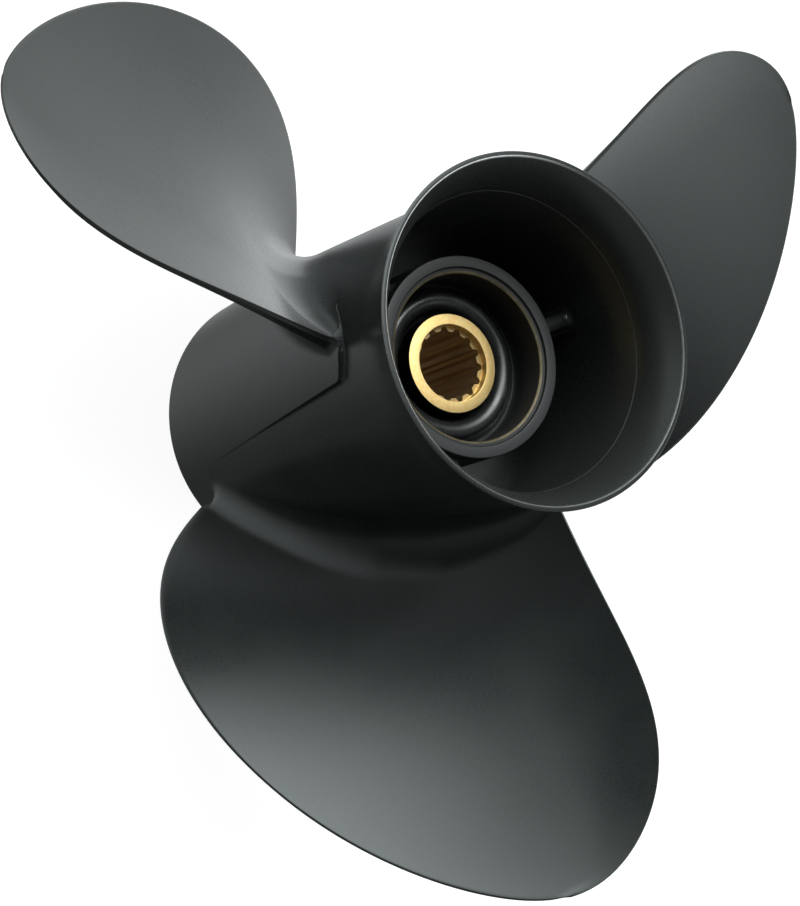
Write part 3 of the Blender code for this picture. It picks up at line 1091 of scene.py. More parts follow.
@dataclass
class Blade:
    """One blade: a right-handed screw with skew, rake and a cupped trailing edge.

    Its lines pass through values at stations along the span, which are shares from the start
    radius, inside the barrel, to the tip. Reach is such a share, and swing is the angle from the
    middle of the chord, in radians. The root fillet's foot runs on by the tuck and sinks into the
    barrel's wall. Where the aft mould half parts it, it ends in a small brow and a drop.
    """

    finish: Material
    barrel: HubBarrel
    diameter: float = 0.3556
    pitch: float = 0.4953
    start_radius: float = 0.0470
    stations: tuple[float, ...] = (0.0, 0.25, 0.5, 0.75, 1.0)
    middle_angles: tuple[float, ...] = (-58.4, -60.6, -58.3, -51.5, -42.2)
    half_angles: tuple[float, ...] = (41.7, 38.7, 35.2, 28.7, 17.5)
    middle_depths: tuple[float, ...] = (0.0968, 0.0851, 0.0703, 0.0530, 0.0339)
    tip_power: int = 4
    cup_height: float = 0.0020
    cup_start: float = 0.6
    root_thickness: float = 0.0105
    tip_thickness: float = 0.0030
    leading_edge: float = 0.0012
    trailing_edge_root: float = 0.0016
    trailing_edge_tip: float = 0.0008
    trailing_thins_from: float = 0.55
    trailing_thins_power: float = 1.5
    swell_power: float = 0.80
    trailing_swell_power: float = 0.32
    trailing_swell_from: float = 0.6
    swell_shift: float = 1.15
    edge_inset: float = 0.00045
    round_power: float = 2.0
    flat_power: float = 7.0
    flat_bulge: float = 0.00035
    flattens_over: float = 0.45
    flat_at_tip: float = 0.35
    crown_reach: float = 0.80
    least_chord: float = 0.02
    nudge: float = 0.0004
    look_ahead: float = 0.001
    chord_steps: int = 64
    span_steps: int = 84
    edge_steps: int = 12
    fillet_steps: int = 16
    leading_fillet: float = 0.0076
    pressure_fillet: float = 0.0100
    middle_fillet: float = 0.0155
    suction_fillet: float = 0.0070
    corner_fillet: float = 0.0050
    trailing_fillet: float = 0.0032
    pressure_places: tuple[float, ...] = (-1.0, -0.55, 0.0, 0.35, 0.8, 1.0)
    suction_places: tuple[float, ...] = (-1.0, -0.6, 0.7, 1.0)
    root_reach: Point2 = (0.005, 0.35)
    root_trials: int = 34
    parted_angles: Point2 = (-45.0, 20.0)
    parted_samples: int = 241
    parted_least: float = 0.02
    parted_brow: float = 0.00012
    parted_drop: float = 0.0002
    tuck: float = 0.0008
    sink: float = 0.0009
    weld_distance: float = 0.000004

    def __post_init__(self) -> None:
        """Draw the curves through the stations."""
        self.lead = self.pitch / (2.0 * math.pi)
        self.span = 0.5 * self.diameter - self.edge_inset - self.start_radius
        self.middle = curve_through(self.stations, np.radians(self.middle_angles))
        self.half_law = curve_through(self.stations, np.radians(self.half_angles))
        self.depth = curve_through(self.stations, self.middle_depths)

    def rounding(self, reach: np.ndarray) -> np.ndarray:
        """Return how far the chord is drawn in towards the round tip, from 1 to 0."""
        return np.sqrt(np.maximum(0.0, 1.0 - reach ** self.tip_power))

    def half(self, reach: np.ndarray) -> np.ndarray:
        """Return half the chord's angle, less the rounded edge's own bulge."""
        radius = self.start_radius + self.span * reach
        return self.half_law(reach) - self.edge_inset / np.hypot(radius, self.lead)

    def half_chord(self, reach: np.ndarray) -> np.ndarray:
        """Return half the chord's angle, drawn in towards the tip."""
        return self.half(reach) * self.rounding(reach)

    def pressure_point(self, reach: np.ndarray, swing: np.ndarray) -> np.ndarray:
        """Return points of the pressure face.

        Args:
            reach: Share of the span.
            swing: Angle from the middle of the chord.

        Returns:
            The points, as rows of x, y, z.
        """
        side = swing / np.maximum(self.half_chord(reach), self.least_chord)
        lift = np.maximum(0.0, side - self.cup_start) / (1.0 - self.cup_start)
        cup = self.cup_height * self.rounding(reach) * lift ** 2
        radius = self.start_radius + self.span * reach
        angle = self.middle(reach) + swing
        height = HUB_LENGTH - self.depth(reach) + self.lead * swing + cup
        return np.stack((radius * np.cos(angle), radius * np.sin(angle), height), axis=-1)

    def slope_normal(self, face: Surface, reach: np.ndarray, swing: np.ndarray) -> np.ndarray:
        """Return a face's unit normals, pointing forward.

        Args:
            face: The face's own function of reach and swing.
            reach: Share of the span.
            swing: Angle from the middle of the chord.

        Returns:
            The normals.
        """
        outward = face(reach + self.nudge, swing) - face(reach - self.nudge, swing)
        along = face(reach, swing + self.nudge) - face(reach, swing - self.nudge)
        return -unit(np.cross(outward, along))

    def thickness(self, reach: np.ndarray, swing: np.ndarray) -> np.ndarray:
        """Return the blade's thickness, fullest behind mid-chord, with a blunt trailing bevel.

        Args:
            reach: Share of the span.
            swing: Angle from the middle of the chord.

        Returns:
            The thickness.
        """
        chord = np.maximum(self.half_chord(reach), TINY)
        share = np.clip(0.5 * (1.0 + swing / chord), 0.0, 1.0)
        thinning = np.maximum(0.0, reach - self.trailing_thins_from) / (1.0 - self.trailing_thins_from)
        change = self.trailing_edge_tip - self.trailing_edge_root
        trailing = self.trailing_edge_root + change * thinning ** self.trailing_thins_power
        edge = self.leading_edge + (trailing - self.leading_edge) * share
        full = self.root_thickness + (self.tip_thickness - self.root_thickness) * np.sqrt(
            np.maximum(reach, 0.0))
        late = np.clip((share - self.trailing_swell_from) / (1.0 - self.trailing_swell_from), 0.0, 1.0)
        power = self.swell_power + (self.trailing_swell_power - self.swell_power) * late
        swell = np.abs(np.sin(math.pi * share ** self.swell_shift)) ** power
        return edge + (full - edge) * swell * self.rounding(reach)

    def suction_point(self, reach: np.ndarray, swing: np.ndarray) -> np.ndarray:
        """Return points of the suction face, a thickness forward of the pressure face."""
        normal = self.slope_normal(self.pressure_point, reach, swing)
        return self.pressure_point(reach, swing) + normal * self.thickness(reach, swing)[..., None]

    def face(self, side: Side) -> Surface:
        """Return a face's function of reach and swing."""
        return self.pressure_point if side is Side.PRESSURE else self.suction_point

    def edge_shape(self, roundness: np.ndarray) -> tuple[np.ndarray, np.ndarray, np.ndarray]:
        """Return the edge's section, from the pressure face round to the suction face.

        Args:
            roundness: 1 where the edge is a half circle, 0 where it is flat with small corners.

        Returns:
            How far each point bulges, its place through the thickness from -1 to 1, and the
            power of its curve, each with a column for every step.
        """
        power = (self.round_power * roundness + self.flat_power * (1.0 - roundness))[:, None]
        turn = np.linspace(0.0, math.pi, self.edge_steps + 1)[None, :]
        bulge = np.abs(np.sin(turn)) ** (2.0 / power)
        through = -np.sign(np.cos(turn)) * np.abs(np.cos(turn)) ** (2.0 / power)
        return bulge, through, power

    def edge_band(self, near: np.ndarray, far: np.ndarray, along: np.ndarray,
                  roundness: np.ndarray) -> tuple[np.ndarray, np.ndarray]:
        """Return the band of the blade's edge and its normals.

        Args:
            near: Points of the pressure face's border.
            far: Points of the suction face's border.
            along: Directions along the border, leading edge to tip to trailing edge.
            roundness: 1 for a round edge, 0 for a flat one.

        Returns:
            Points and unit normals, a row for each border point and a column for each step.
        """
        through_unit = unit(far - near)
        outward = unit(np.cross(through_unit, along))
        bulge, through, power = self.edge_shape(roundness)
        thick = np.linalg.norm(far - near, axis=-1)
        depth = roundness * 0.5 * thick + (1.0 - roundness) * self.flat_bulge
        middle = 0.5 * (near + far)
        points = (middle[:, None] + outward[:, None] * (depth[:, None] * bulge)[..., None]
                  + (far - near)[:, None] * (0.5 * through)[..., None])
        out_part = bulge ** (power - 1.0) / depth[:, None]
        through_part = np.sign(through) * np.abs(through) ** (power - 1.0) / (0.5 * thick[:, None])
        normals = unit(outward[:, None] * out_part[..., None]
                       + through_unit[:, None] * through_part[..., None])
        return points, normals

    def root_edge(self, edge: Edge, reach: np.ndarray) -> tuple[np.ndarray, np.ndarray]:
        """Return the edge band's points and normals near the root, one column for each step.

        Args:
            edge: Which edge.
            reach: Share of the span of each step's own point.

        Returns:
            One point and normal for each step.
        """
        ahead = reach + self.look_ahead
        swing, swing_ahead = edge.value * self.half_chord(reach), edge.value * self.half_chord(ahead)
        near = self.pressure_point(reach, swing)
        along = unit(self.pressure_point(ahead, swing_ahead) - near) * (-edge.value)
        roundness = np.full(reach.shape, 1.0 if edge is Edge.LEADING else 0.0)
        points, normals = self.edge_band(near, self.suction_point(reach, swing), along, roundness)
        steps = np.arange(self.edge_steps + 1)
        return points[steps, steps], normals[steps, steps]

    def split_loop(self, values: np.ndarray) -> list[np.ndarray]:
        """Return a loop's values for the pressure face, trailing edge, suction face, leading edge."""
        count, between = self.chord_steps + 1, self.edge_steps - 1
        return np.split(values, np.cumsum((count, between, count)))

    def root_loop(self, reach: np.ndarray) -> tuple[np.ndarray, np.ndarray]:
        """Return the loop round the blade's root, and its outward normals.

        Args:
            reach: Share of the span of each point of the loop.

        Returns:
            Points and normals: pressure face from the leading edge, trailing edge, suction face
            back to the leading edge, leading edge.
        """
        across = np.linspace(-1.0, 1.0, self.chord_steps + 1)
        pressure, trailing, suction, leading = self.split_loop(reach)
        points, normals = [], []
        for part, side in ((pressure, Side.PRESSURE), (suction[::-1], Side.SUCTION)):
            swing = across * self.half(part) * self.rounding(part)
            face = self.face(side)
            points.append(face(part, swing))
            normals.append(side.value * self.slope_normal(face, part, swing))
        edges = []
        for part, edge in ((trailing, Edge.TRAILING), (leading[::-1], Edge.LEADING)):
            filled = np.concatenate(([part[0]], part, [part[-1]]))
            edges.append([values[1:-1] for values in self.root_edge(edge, filled)])
        aft, fore = edges
        loop = np.vstack((points[0], aft[0], points[1][::-1], fore[0][::-1]))
        outward = np.vstack((normals[0], aft[1], normals[1][::-1], fore[1][::-1]))
        return loop, outward

    def fillet_radii(self) -> tuple[np.ndarray, np.ndarray]:
        """Lay out the root fillet's radius along the loop.

        Returns:
            The radius at each point of the loop, and the front mould half's share in the barrel
            beside it.
        """
        count = self.chord_steps + 1
        across = np.linspace(-1.0, 1.0, count)
        edge = np.linspace(0.0, 1.0, self.edge_steps + 1)[1:-1]
        pressure = np.interp(across, self.pressure_places,
                             (self.leading_fillet, self.pressure_fillet, self.middle_fillet,
                              self.middle_fillet, self.pressure_fillet, self.corner_fillet))
        suction = np.interp(across, self.suction_places,
                            (self.leading_fillet, self.suction_fillet, self.suction_fillet,
                             self.trailing_fillet))
        trailing = self.corner_fillet + (self.trailing_fillet - self.corner_fillet) * edge
        leading = np.full(edge.shape, self.leading_fillet)
        radii = np.concatenate((pressure, trailing, suction[::-1], leading))
        share = np.concatenate((np.zeros(count), edge, np.ones(count), 1.0 - edge))
        return radii, share

    def seat_fillet(self) -> tuple[np.ndarray, np.ndarray]:
        """Roll a ball of the fillet's radius round the root, touching the blade and the barrel.

        Returns:
            The reach where it touches the blade, and the rows of points from there down onto
            the barrel and into its wall.
        """
        radii, share = self.fillet_radii()
        low, high = (np.full(radii.shape, reach) for reach in self.root_reach)
        for _ in range(self.root_trials):
            reach = 0.5 * (low + high)
            points, normals = self.root_loop(reach)
            centre = points + normals * radii[:, None]
            depth = HUB_LENGTH - centre[:, 2]
            aft = self.barrel.aft_radius_at(depth)
            beside = aft + (self.barrel.front_radius_at(depth) - aft) * share
            outside = off_axis(centre) > beside + radii
            high = np.where(outside, reach, high)
            low = np.where(outside, low, reach)
        points, normals = self.root_loop(reach)
        return reach, self.fillet_rows(normals, points + normals * radii[:, None], radii)

    def fillet_rows(self, normals: np.ndarray, centre: np.ndarray, radii: np.ndarray) -> np.ndarray:
        """Return the fillet's rows, ended aft by the parting face.

        Args:
            normals: The blade's normals where the ball touches it.
            centre: The ball's centres.
            radii: The ball's radii.

        Returns:
            Rows of points, from the blade to just inside the barrel's wall.
        """
        radial = unit(centre * (1.0, 1.0, 0.0))
        ball = radii[:, None]
        sweep = np.arccos(np.clip(np.sum(normals * radial, axis=1, keepdims=True), -1.0, 1.0))
        stop = np.ones_like(sweep)
        for share in np.linspace(1.0, 0.0, self.parted_samples):
            place = centre + turn_arm(-normals, -radial, sweep, share) * ball
            stop = np.where(self.behind_parting(place)[:, None], share, stop)
        stop = np.maximum(stop, self.parted_least)
        cut = stop < 1.0
        rows = [centre + turn_arm(-normals, -radial, sweep, stop * share) * ball
                for share in np.linspace(0.0, 1.0, self.fillet_steps + 1)]
        brow = rows[-1]
        away = unit(brow - rows[-2])
        rows[-1] = np.where(cut, brow - self.parted_brow * away, brow)
        sunk = off_axis(centre - radial * ball) - self.sink
        face = at_radius(brow, np.maximum(off_axis(brow) - self.parted_drop, sunk))
        run = at_radius(brow + away * self.tuck, off_axis(brow))
        rows.append(np.where(cut, face, run))
        rows.append(at_radius(np.where(cut, brow, run), sunk))
        return np.array(rows)

    def behind_parting(self, place: np.ndarray) -> np.ndarray:
        """Return which points lie aft of the parting face behind the blade.

        Args:
            place: The points.

        Returns:
            True for each point that the aft mould half takes away.
        """
        turn = np.degrees(np.arctan2(place[:, 1], place[:, 0]))
        limit = self.barrel.parting.depth_behind(turn, off_axis(place))
        first, last = self.parted_angles
        return (turn > first) & (turn < last) & (HUB_LENGTH - place[:, 2] - limit < 0.0)

    def face_grid(self, root_reach: np.ndarray) -> tuple[np.ndarray, np.ndarray]:
        """Return reach and swing over one face, its top row laid round the tip.

        Args:
            root_reach: Reach of the face's first row, across the chord.

        Returns:
            Reach and swing, with rows along the span and columns across the chord.
        """
        across = np.linspace(-1.0, 1.0, self.chord_steps + 1)
        up = np.linspace(0.0, 1.0, self.span_steps + 1)
        drawn = self.rounding(self.crown_reach) * np.sin(0.5 * math.pi * across)
        top_reach = (1.0 - drawn ** 2) ** (1.0 / self.tip_power)
        top = (top_reach, self.half(top_reach) * drawn)
        bottom = (root_reach, across * self.half(root_reach) * self.rounding(root_reach))
        borders = []
        for end, edge in ((0, Edge.LEADING), (-1, Edge.TRAILING)):
            reach = root_reach[end] + (self.crown_reach - root_reach[end]) * up
            borders.append((reach, edge.value * self.half_chord(reach)))
        right_share = 0.5 * (1.0 + across)[None, :]
        rise = up[:, None]
        laid = []
        for part in range(2):
            low, high = bottom[part][None, :], top[part][None, :]
            left, right = borders[0][part][:, None], borders[1][part][:, None]
            blend = (1.0 - rise) * low + rise * high
            blend = blend + (1.0 - right_share) * left + right_share * right
            corner = ((1.0 - rise) * ((1.0 - right_share) * low[:, :1] + right_share * low[:, -1:])
                      + rise * ((1.0 - right_share) * high[:, :1] + right_share * high[:, -1:]))
            laid.append(blend - corner)
        return laid[0], laid[1]

    def border(self, sheet: np.ndarray) -> np.ndarray:
        """Return a face grid's border, up the leading edge, over the tip and down the trailing."""
        return np.concatenate((sheet[:, 0], sheet[-1, 1:-1], sheet[::-1, -1]))

    def edge_sheet(self, near: np.ndarray, far: np.ndarray) -> np.ndarray:
        """Return the edge band, round along the leading edge and flat along the trailing edge.

        Args:
            near: Points of the pressure face's border.
            far: Points of the suction face's border.

        Returns:
            The band's points.
        """
        crest = self.span_steps + 0.5 * self.chord_steps
        place = np.arange(len(near))
        fade = np.clip((place - crest) / (self.flattens_over * self.chord_steps) + self.flat_at_tip,
                       0.0, 1.0)
        roundness = 1.0 - fade * fade * (3.0 - 2.0 * fade)
        along = unit(np.gradient(near, axis=0))
        return self.edge_band(near, far, along, roundness)[0]

    def sheets(self) -> list[np.ndarray]:
        """Work out the sheets of points that close round the blade.

        Returns:
            The two faces, the edge, the root fillet, the cap across it inside the barrel's wall,
            and the strips between the cap's ends and the fillet.
        """
        reach, fillet = self.seat_fillet()
        pressure, _, suction, _ = self.split_loop(reach)
        near = self.pressure_point(*self.face_grid(pressure))
        far = self.suction_point(*self.face_grid(suction[::-1]))
        edge = self.edge_sheet(self.border(near), self.border(far))
        count, between = self.chord_steps + 1, self.edge_steps - 1
        fillet[0, count:count + between] = edge[-1][1:-1]
        fillet[0, 2 * count + between:] = edge[0][::-1][1:-1]
        ring = np.concatenate((fillet, fillet[:, :1]), axis=1)
        lower, aft_end, upper, fore_end = self.split_loop(fillet[-1])
        shares = np.linspace(0.0, 1.0, self.edge_steps + 1)
        cap = np.array([lower + (upper[::-1] - lower) * share for share in shares])
        strips = []
        for end, bulge in ((0, fore_end[::-1]), (-1, aft_end)):
            border = np.vstack((cap[0, end], bulge, cap[-1, end]))
            strips.append(np.array((border, cap[:, end])))
        return [near, far, edge, ring, cap, *strips]

    def build_all(self) -> list[Piece]:
        """Model one blade, copy it round the hub, and dress each.

        Returns:
            The blades' objects.
        """
        choose(*[lay_grid(sheet) for sheet in self.sheets()])
        bpy.ops.object.join()
        piece = bpy.context.object
        weld(piece, self.weld_distance)
        piece.rotation_euler = (0.0, 0.0, math.radians(FIRST_BLADE))
        blades = copy_round(finish_piece(piece, "blade_casting_1"), "blade_casting")
        for number, blade in enumerate(blades, 1):
            tie(blade, self.finish, f"blade_{number}")
        return blades


@dataclass
class InnerHub:
    """The inner hub that holds the rubber bush, and the three ribs that carry it.

    The rounds are the radii of the hub's corners, from its aft face round by the outside.
    """

    finish: Material
    rib_finish: Material
    front: float = 0.0200
    aft_radius: float = 0.0343
    front_radius: float = 0.0352
    bore: float = 0.0285
    face_bore: float = 0.0306
    bare_edge_radius: float = 0.0293
    edge_drop: float = 0.0011
    edge_rise: float = 0.0006
    edge_gap: float = 0.0004
    rounds: tuple[float, ...] = (0.00015, 0.0004, 0.0008, 0.0008, 0.0004, 0.0003, 0.0002)
    segments: int = 144
    rib_thickness: float = 0.0055
    rib_depth: float = 0.0465
    rib_front: float = 0.0230
    rib_inner: float = 0.0340
    rib_outer: float = 0.0484
    rib_flare: float = 0.0022
    rib_round_steps: int = 8
    rib_sharp: float = 40.0
    first_rib: float = -26.0

    def build_hub(self) -> Piece:
        """Turn the inner hub and dress it.

        Returns:
            The inner hub's object.
        """
        aft = HUB_LENGTH - INNER_HUB_DEPTH
        ledge = aft - self.edge_drop
        places = (
            (self.face_bore, aft),
            (self.aft_radius, aft),
            (self.front_radius, self.front),
            (self.bore, self.front),
            (self.bore, ledge - self.edge_rise),
            (self.bare_edge_radius, ledge),
            (self.face_bore - self.edge_gap, ledge),
        )
        corners = [Corner(*place, bend) for place, bend in zip(places, self.rounds)]
        piece = turn_profile(round_corners(corners), self.segments)
        finish_piece(piece, "inner_hub_turned")
        tie(piece, self.finish, "inner_hub")
        return piece

    def build_ribs(self) -> list[Piece]:
        """Model a rounded rib with flared ends, copy it round the hub, and dress each.

        Returns:
            The ribs' objects.
        """
        length = HUB_LENGTH - self.rib_depth - self.rib_front
        middle = (0.0, 0.0, self.rib_front + 0.5 * length)
        deselect_all()
        bpy.ops.mesh.primitive_plane_add(size=1.0, location=AXIS, enter_editmode=True)
        bpy.ops.transform.rotate(value=math.radians(90.0), orient_axis="Y", center_override=AXIS)
        bpy.ops.transform.resize(value=(1.0, self.rib_thickness, length), center_override=AXIS)
        bpy.ops.transform.translate(value=(self.rib_inner, 0.0, middle[2]))
        bpy.ops.mesh.bevel(affect="VERTICES", offset=NEARLY_HALF * self.rib_thickness,
                           segments=self.rib_round_steps)
        stations = [(self.rib_inner + self.rib_flare * (1.0 - math.cos(turn)),
                     self.rib_flare * (1.0 - math.sin(turn))) for turn in QUARTER_TURN]
        stations += [(self.rib_outer - (x - self.rib_inner), swell) for x, swell in reversed(stations)]
        last_x, last_swell = self.rib_inner, 0.0
        for x, swell in stations:
            thick = (self.rib_thickness + 2.0 * swell) / (self.rib_thickness + 2.0 * last_swell)
            tall = (length + 2.0 * swell) / (length + 2.0 * last_swell)
            if x > last_x:
                move = {"value": (x - last_x, 0.0, 0.0)}
                bpy.ops.mesh.extrude_region_move(TRANSFORM_OT_translate=move)
            bpy.ops.transform.resize(value=(1.0, thick, tall), center_override=middle)
            last_x, last_swell = x, swell
        face_outwards()
        piece = bpy.context.object
        piece.rotation_euler = (0.0, 0.0, math.radians(self.first_rib))
        ribs = copy_round(finish_piece(piece, "rib_casting_1", self.rib_sharp), "rib_casting")
        for number, rib in enumerate(ribs, 1):
            tie(rib, self.rib_finish, f"hub_rib_{number}")
        return ribs


@dataclass
class RubberBush:
    """The rubber bush between the sleeve and the inner hub, with its swollen aft ridge.

    The ridge rises over ridge_turn of an arc that leans outwards, and then slopes to the wall.
    """

    finish: Material
    depth: float = 0.0590
    front: float = 0.0250
    inner: float = 0.0169
    outer: float = 0.0286
    ridge_radius: float = 0.0222
    ridge_half: float = 0.0035
    ridge_height: float = 0.0045
    ridge_turn: float = 130.0
    ridge_lean: float = 0.0006
    ridge_power: float = 0.8
    ridge_points: int = 15
    slope_power: float = 2.2
    slope_steps: int = 8
    aft_corner: float = 0.0004
    front_corner: float = 0.0008
    hidden_drop: float = 0.0015
    segments: int = 144
    sharp: float = 50.0

    def build(self) -> Piece:
        """Turn the bush and dress it.

        Returns:
            The bush's object.
        """
        aft = HUB_LENGTH - self.depth
        profile = [(self.inner, aft - self.hidden_drop)]
        for turn in np.radians(np.linspace(0.0, self.ridge_turn, self.ridge_points)):
            lean = self.ridge_lean * math.sin(turn)
            profile.append((self.ridge_radius - self.ridge_half * math.cos(turn) + lean,
                            aft + self.ridge_height * math.sin(turn) ** self.ridge_power))
        start_radius, start_height = profile[-1]
        for share in np.linspace(0.0, 1.0, self.slope_steps + 1)[1:]:
            profile.append((start_radius + (self.outer - self.aft_corner - start_radius) * share,
                            aft + (start_height - aft) * (1.0 - share) ** self.slope_power))
        profile += [(self.outer, aft + self.aft_corner), (self.outer, self.front + self.front_corner)]
        profile += [(self.outer - self.front_corner, self.front), (self.inner, self.front)]
        piece = turn_profile(profile, self.segments)
        finish_piece(piece, "bush_moulding", self.sharp)
        tie(piece, self.finish, "rubber_bush")
        return piece


@dataclass
class SplinedSleeve:
    """The brass sleeve with its fifteen shaft splines."""

    finish: Material
    front: float = 0.0190
    radius: float = 0.0171
    mouth_radius: float = 0.0133
    mouth_depth: float = 0.0026
    chamfer: float = 0.00025
    lip: float = 0.00015
    lip_depth: float = 0.0002
    face_fall: float = 0.0002
    face_rise: float = 0.0004
    face_round: float = 0.0002
    bore_steps: int = 7
    count: int = 15
    minor: float = 0.01150
    major: float = 0.01310
    root_angles: Point2 = (2.4, 3.35)
    mouth_angles: Point2 = (6.9, 8.1)
    root_lean: float = 0.13
    tooth_lean: float = 0.10
    tooth_points: int = 20
    sharp: float = 30.0

    def groove_radius(self, angles: np.ndarray) -> np.ndarray:
        """Return the bore's radius at angles in degrees, in a groove or on a tooth.

        Args:
            angles: Angles round the axis.

        Returns:
            The radius of the splined bore.
        """
        pitch = 360.0 / self.count
        off = np.abs((angles + 0.5 * pitch) % pitch - 0.5 * pitch)
        corners = (0.0, *self.root_angles, *self.mouth_angles, 0.5 * pitch)
        step = self.major - self.minor
        heights = (self.major, self.major, self.major - self.root_lean * step,
                   self.minor + self.tooth_lean * step, self.minor, self.minor)
        return np.interp(off, corners, heights)

    def build(self) -> Piece:
        """Model the sleeve and dress it.

        Returns:
            The sleeve's object.
        """
        angles = np.linspace(0.0, 360.0, self.count * self.tooth_points + 1)
        splined = self.groove_radius(angles)
        lip = np.minimum(splined + self.lip, self.mouth_radius)
        aft = HUB_LENGTH - SLEEVE_DEPTH
        high, low = aft - self.mouth_depth, self.front + self.mouth_depth
        outside = round_corners([
            Corner(self.mouth_radius, self.front),
            Corner(self.radius, self.front, self.chamfer),
            Corner(self.radius, aft - self.face_fall, self.chamfer),
            Corner(self.mouth_radius, aft + self.face_rise, self.face_round),
            Corner(self.mouth_radius, high),
        ], closed=False)
        rows = [(np.full_like(angles, radius), height) for radius, height in outside]
        rows += [(lip, high), (splined, high - self.lip_depth)]
        rows += [(splined, high + (low - high) * share)
                 for share in np.linspace(0.0, 1.0, self.bore_steps + 1)[1:-1]]
        rows += [(splined, low + self.lip_depth), (lip, low)]
        rows += [(np.full_like(angles, self.mouth_radius), low), rows[0]]
        turn = np.radians(angles)
        piece = lay_grid(np.array([
            np.column_stack((radius * np.cos(turn), radius * np.sin(turn), np.full_like(turn, height)))
            for radius, height in rows
        ]))
        weld(piece)
        finish_piece(piece, "sleeve_turned", self.sharp)
        tie(piece, self.finish, "splined_sleeve")
        return piece


@dataclass(frozen=True)
class Glow:
    """A patch of the soft studio light, brightest in its middle, with its reach as an angle."""

    azimuth: float
    elevation: float
    reach: float
    strength: float

    def light_at(self, board: Board, direction: Socket) -> Socket:
        """Return the light that the patch sends from each direction.

        Args:
            board: The surroundings' nodes.
            direction: The direction's socket.

        Returns:
            The light's socket.
        """
        azimuth, elevation = math.radians(self.azimuth), math.radians(self.elevation)
        middle = (math.cos(elevation) * math.cos(azimuth), math.cos(elevation) * math.sin(azimuth),
                  math.sin(elevation))
        angle = board.maths("ARCCOSINE", board.dot(direction, middle))
        return board.spread(angle, (0.0, math.radians(self.reach)), (self.strength, 0.0), soft=True)


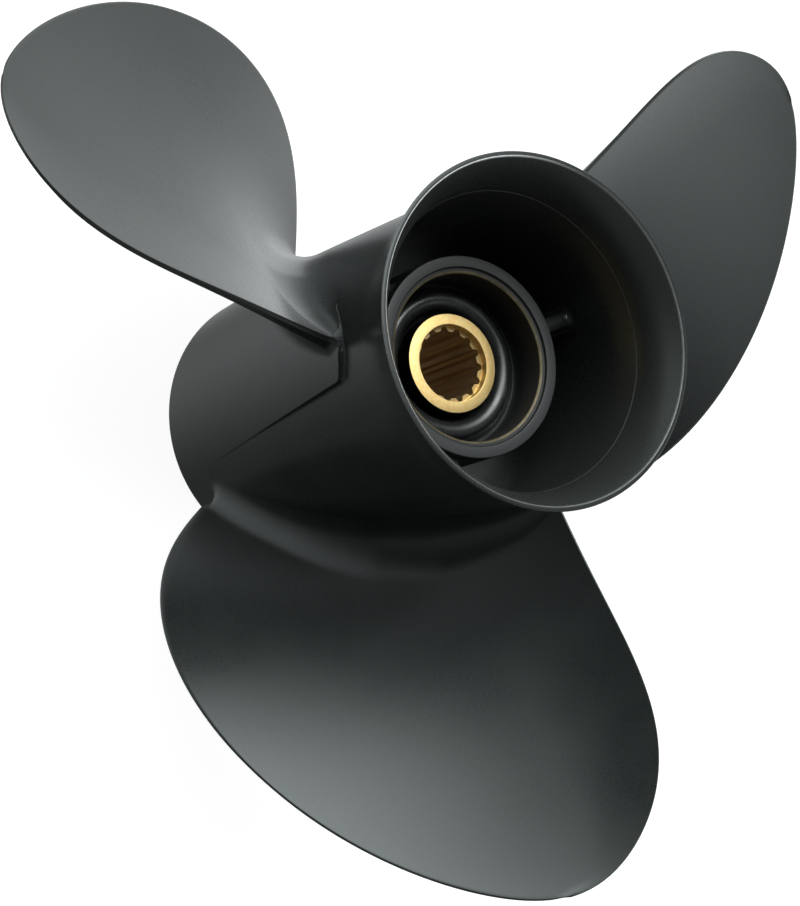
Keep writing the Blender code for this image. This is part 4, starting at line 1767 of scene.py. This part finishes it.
@dataclass
class Studio:
    """The pale floor, the soft light and the camera at the photograph's angle.

    The floor is a wide disc that curves up into a wall, far behind the propeller.
    """

    floor_finish: StudioFinish
    floor_radius: float = 4.0
    floor_segments: int = 96
    bend_radius: float = 1.5
    bend_steps: int = 8
    wall_height: float = 4.0
    lens: float = 77.05
    clip_start: float = 0.02
    camera_place: Point3 = (0.0234, -0.3687, 0.6585)
    camera_right: Point3 = (0.3052, 0.8071, 0.5055)
    camera_ahead: Point3 = (0.0, 0.5308, -0.8475)
    light_colour: Colour = (0.965, 1.0, 1.005)
    glows: tuple[Glow, ...] = (
        Glow(163.0, 59.0, 36.0, 9.7),
        Glow(131.0, 7.0, 42.0, 2.1),
        Glow(72.0, -1.0, 42.0, 2.0),
        Glow(209.0, -20.0, 73.0, 1.33),
        Glow(118.0, -36.0, 40.0, 1.45),
        Glow(43.0, 28.0, 42.0, 1.3),
        Glow(326.0, -10.0, 102.0, 0.30),
    )

    def lay_floor(self) -> None:
        """Model the floor, and keep its shade and its glow off the propeller."""
        deselect_all()
        bpy.ops.mesh.primitive_circle_add(vertices=self.floor_segments, radius=self.floor_radius,
                                          fill_type="TRIFAN", enter_editmode=True)
        bpy.ops.mesh.select_mode(type="EDGE")
        bpy.ops.mesh.select_all(action="DESELECT")
        bpy.ops.mesh.select_non_manifold()
        turns = np.radians(np.linspace(0.0, 90.0, self.bend_steps + 1))
        for before, turn in zip(turns, turns[1:]):
            grown = self.floor_radius + self.bend_radius * math.sin(before)
            radius = self.floor_radius + self.bend_radius * math.sin(turn)
            grow_ring(self.bend_radius * (math.cos(before) - math.cos(turn)), radius / grown)
        grow_ring(self.wall_height, 1.0)
        bpy.ops.object.mode_set(mode="OBJECT")
        floor = finish_piece(bpy.context.object, "studio_floor", sharp=60.0)
        floor.data.materials.append(self.floor_finish.make())
        floor.visible_glossy = False
        floor.visible_diffuse = False
        floor.visible_shadow = False
        floor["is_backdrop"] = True

    def light(self) -> None:
        """Set the soft light that surrounds the propeller."""
        world = bpy.data.worlds.new("studio_light")
        world.use_nodes = True
        board = Board(world.node_tree)
        direction = board.nodes.new("ShaderNodeTexCoord").outputs["Generated"]
        total, *others = [glow.light_at(board, direction) for glow in self.glows]
        for light in others:
            total = board.maths("ADD", total, light)
        background = board.nodes["Background"]
        board.put(background.inputs["Color"], (*self.light_colour, 1.0))
        board.put(background.inputs["Strength"], total)
        bpy.context.scene.world = world
        bpy.context.scene.view_settings.view_transform = "Standard"

    def set_camera(self) -> None:
        """Put the camera at the photograph's place, turn and lens."""
        deselect_all()
        bpy.ops.object.camera_add(location=self.camera_place)
        camera = bpy.context.object
        camera.name = "photo_camera"
        ahead = Vector(self.camera_ahead).normalized()
        right = Vector(self.camera_right)
        right = (right - ahead * right.dot(ahead)).normalized()
        turn = Matrix((right, right.cross(ahead), -ahead)).transposed()
        camera.rotation_euler = turn.to_euler()
        camera.data.lens = self.lens
        camera.data.clip_start = self.clip_start
        bpy.context.scene.camera = camera

    def build(self) -> None:
        """Set the camera, lay the floor and light the scene."""
        self.set_camera()
        self.lay_floor()
        self.light()


def write_sizes() -> None:
    """Work out the solids' box and the dressed model's box as plain numbers."""
    boxes = {"cad": CAD_BOX, "visual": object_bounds()}
    plain = {name: [[float(value) for value in corner] for corner in box]
             for name, box in boxes.items()}


def main() -> None:
    """Build and dress the propeller, piece by piece, and set up the studio."""
    logging.basicConfig(level=logging.INFO, format="%(message)s")
    Studio(StudioFinish()).build()
    paint = SatinPaint().make()
    barrel = HubBarrel(paint)
    pieces = [barrel.build()]
    pieces += Blade(paint, barrel).build_all()
    inner_hub = InnerHub(TurnedPaint().make(), paint)
    pieces.append(inner_hub.build_hub())
    pieces += inner_hub.build_ribs()
    pieces.append(RubberBush(BushRubber().make()).build())
    pieces.append(SplinedSleeve(SleeveBrass().make()).build())
    for piece in pieces:
        piece.data.calc_loop_triangles()
        log.info("%s: %d triangles", piece.name, len(piece.data.loop_triangles))
    write_sizes()


if __name__ == "__main__":
    main()
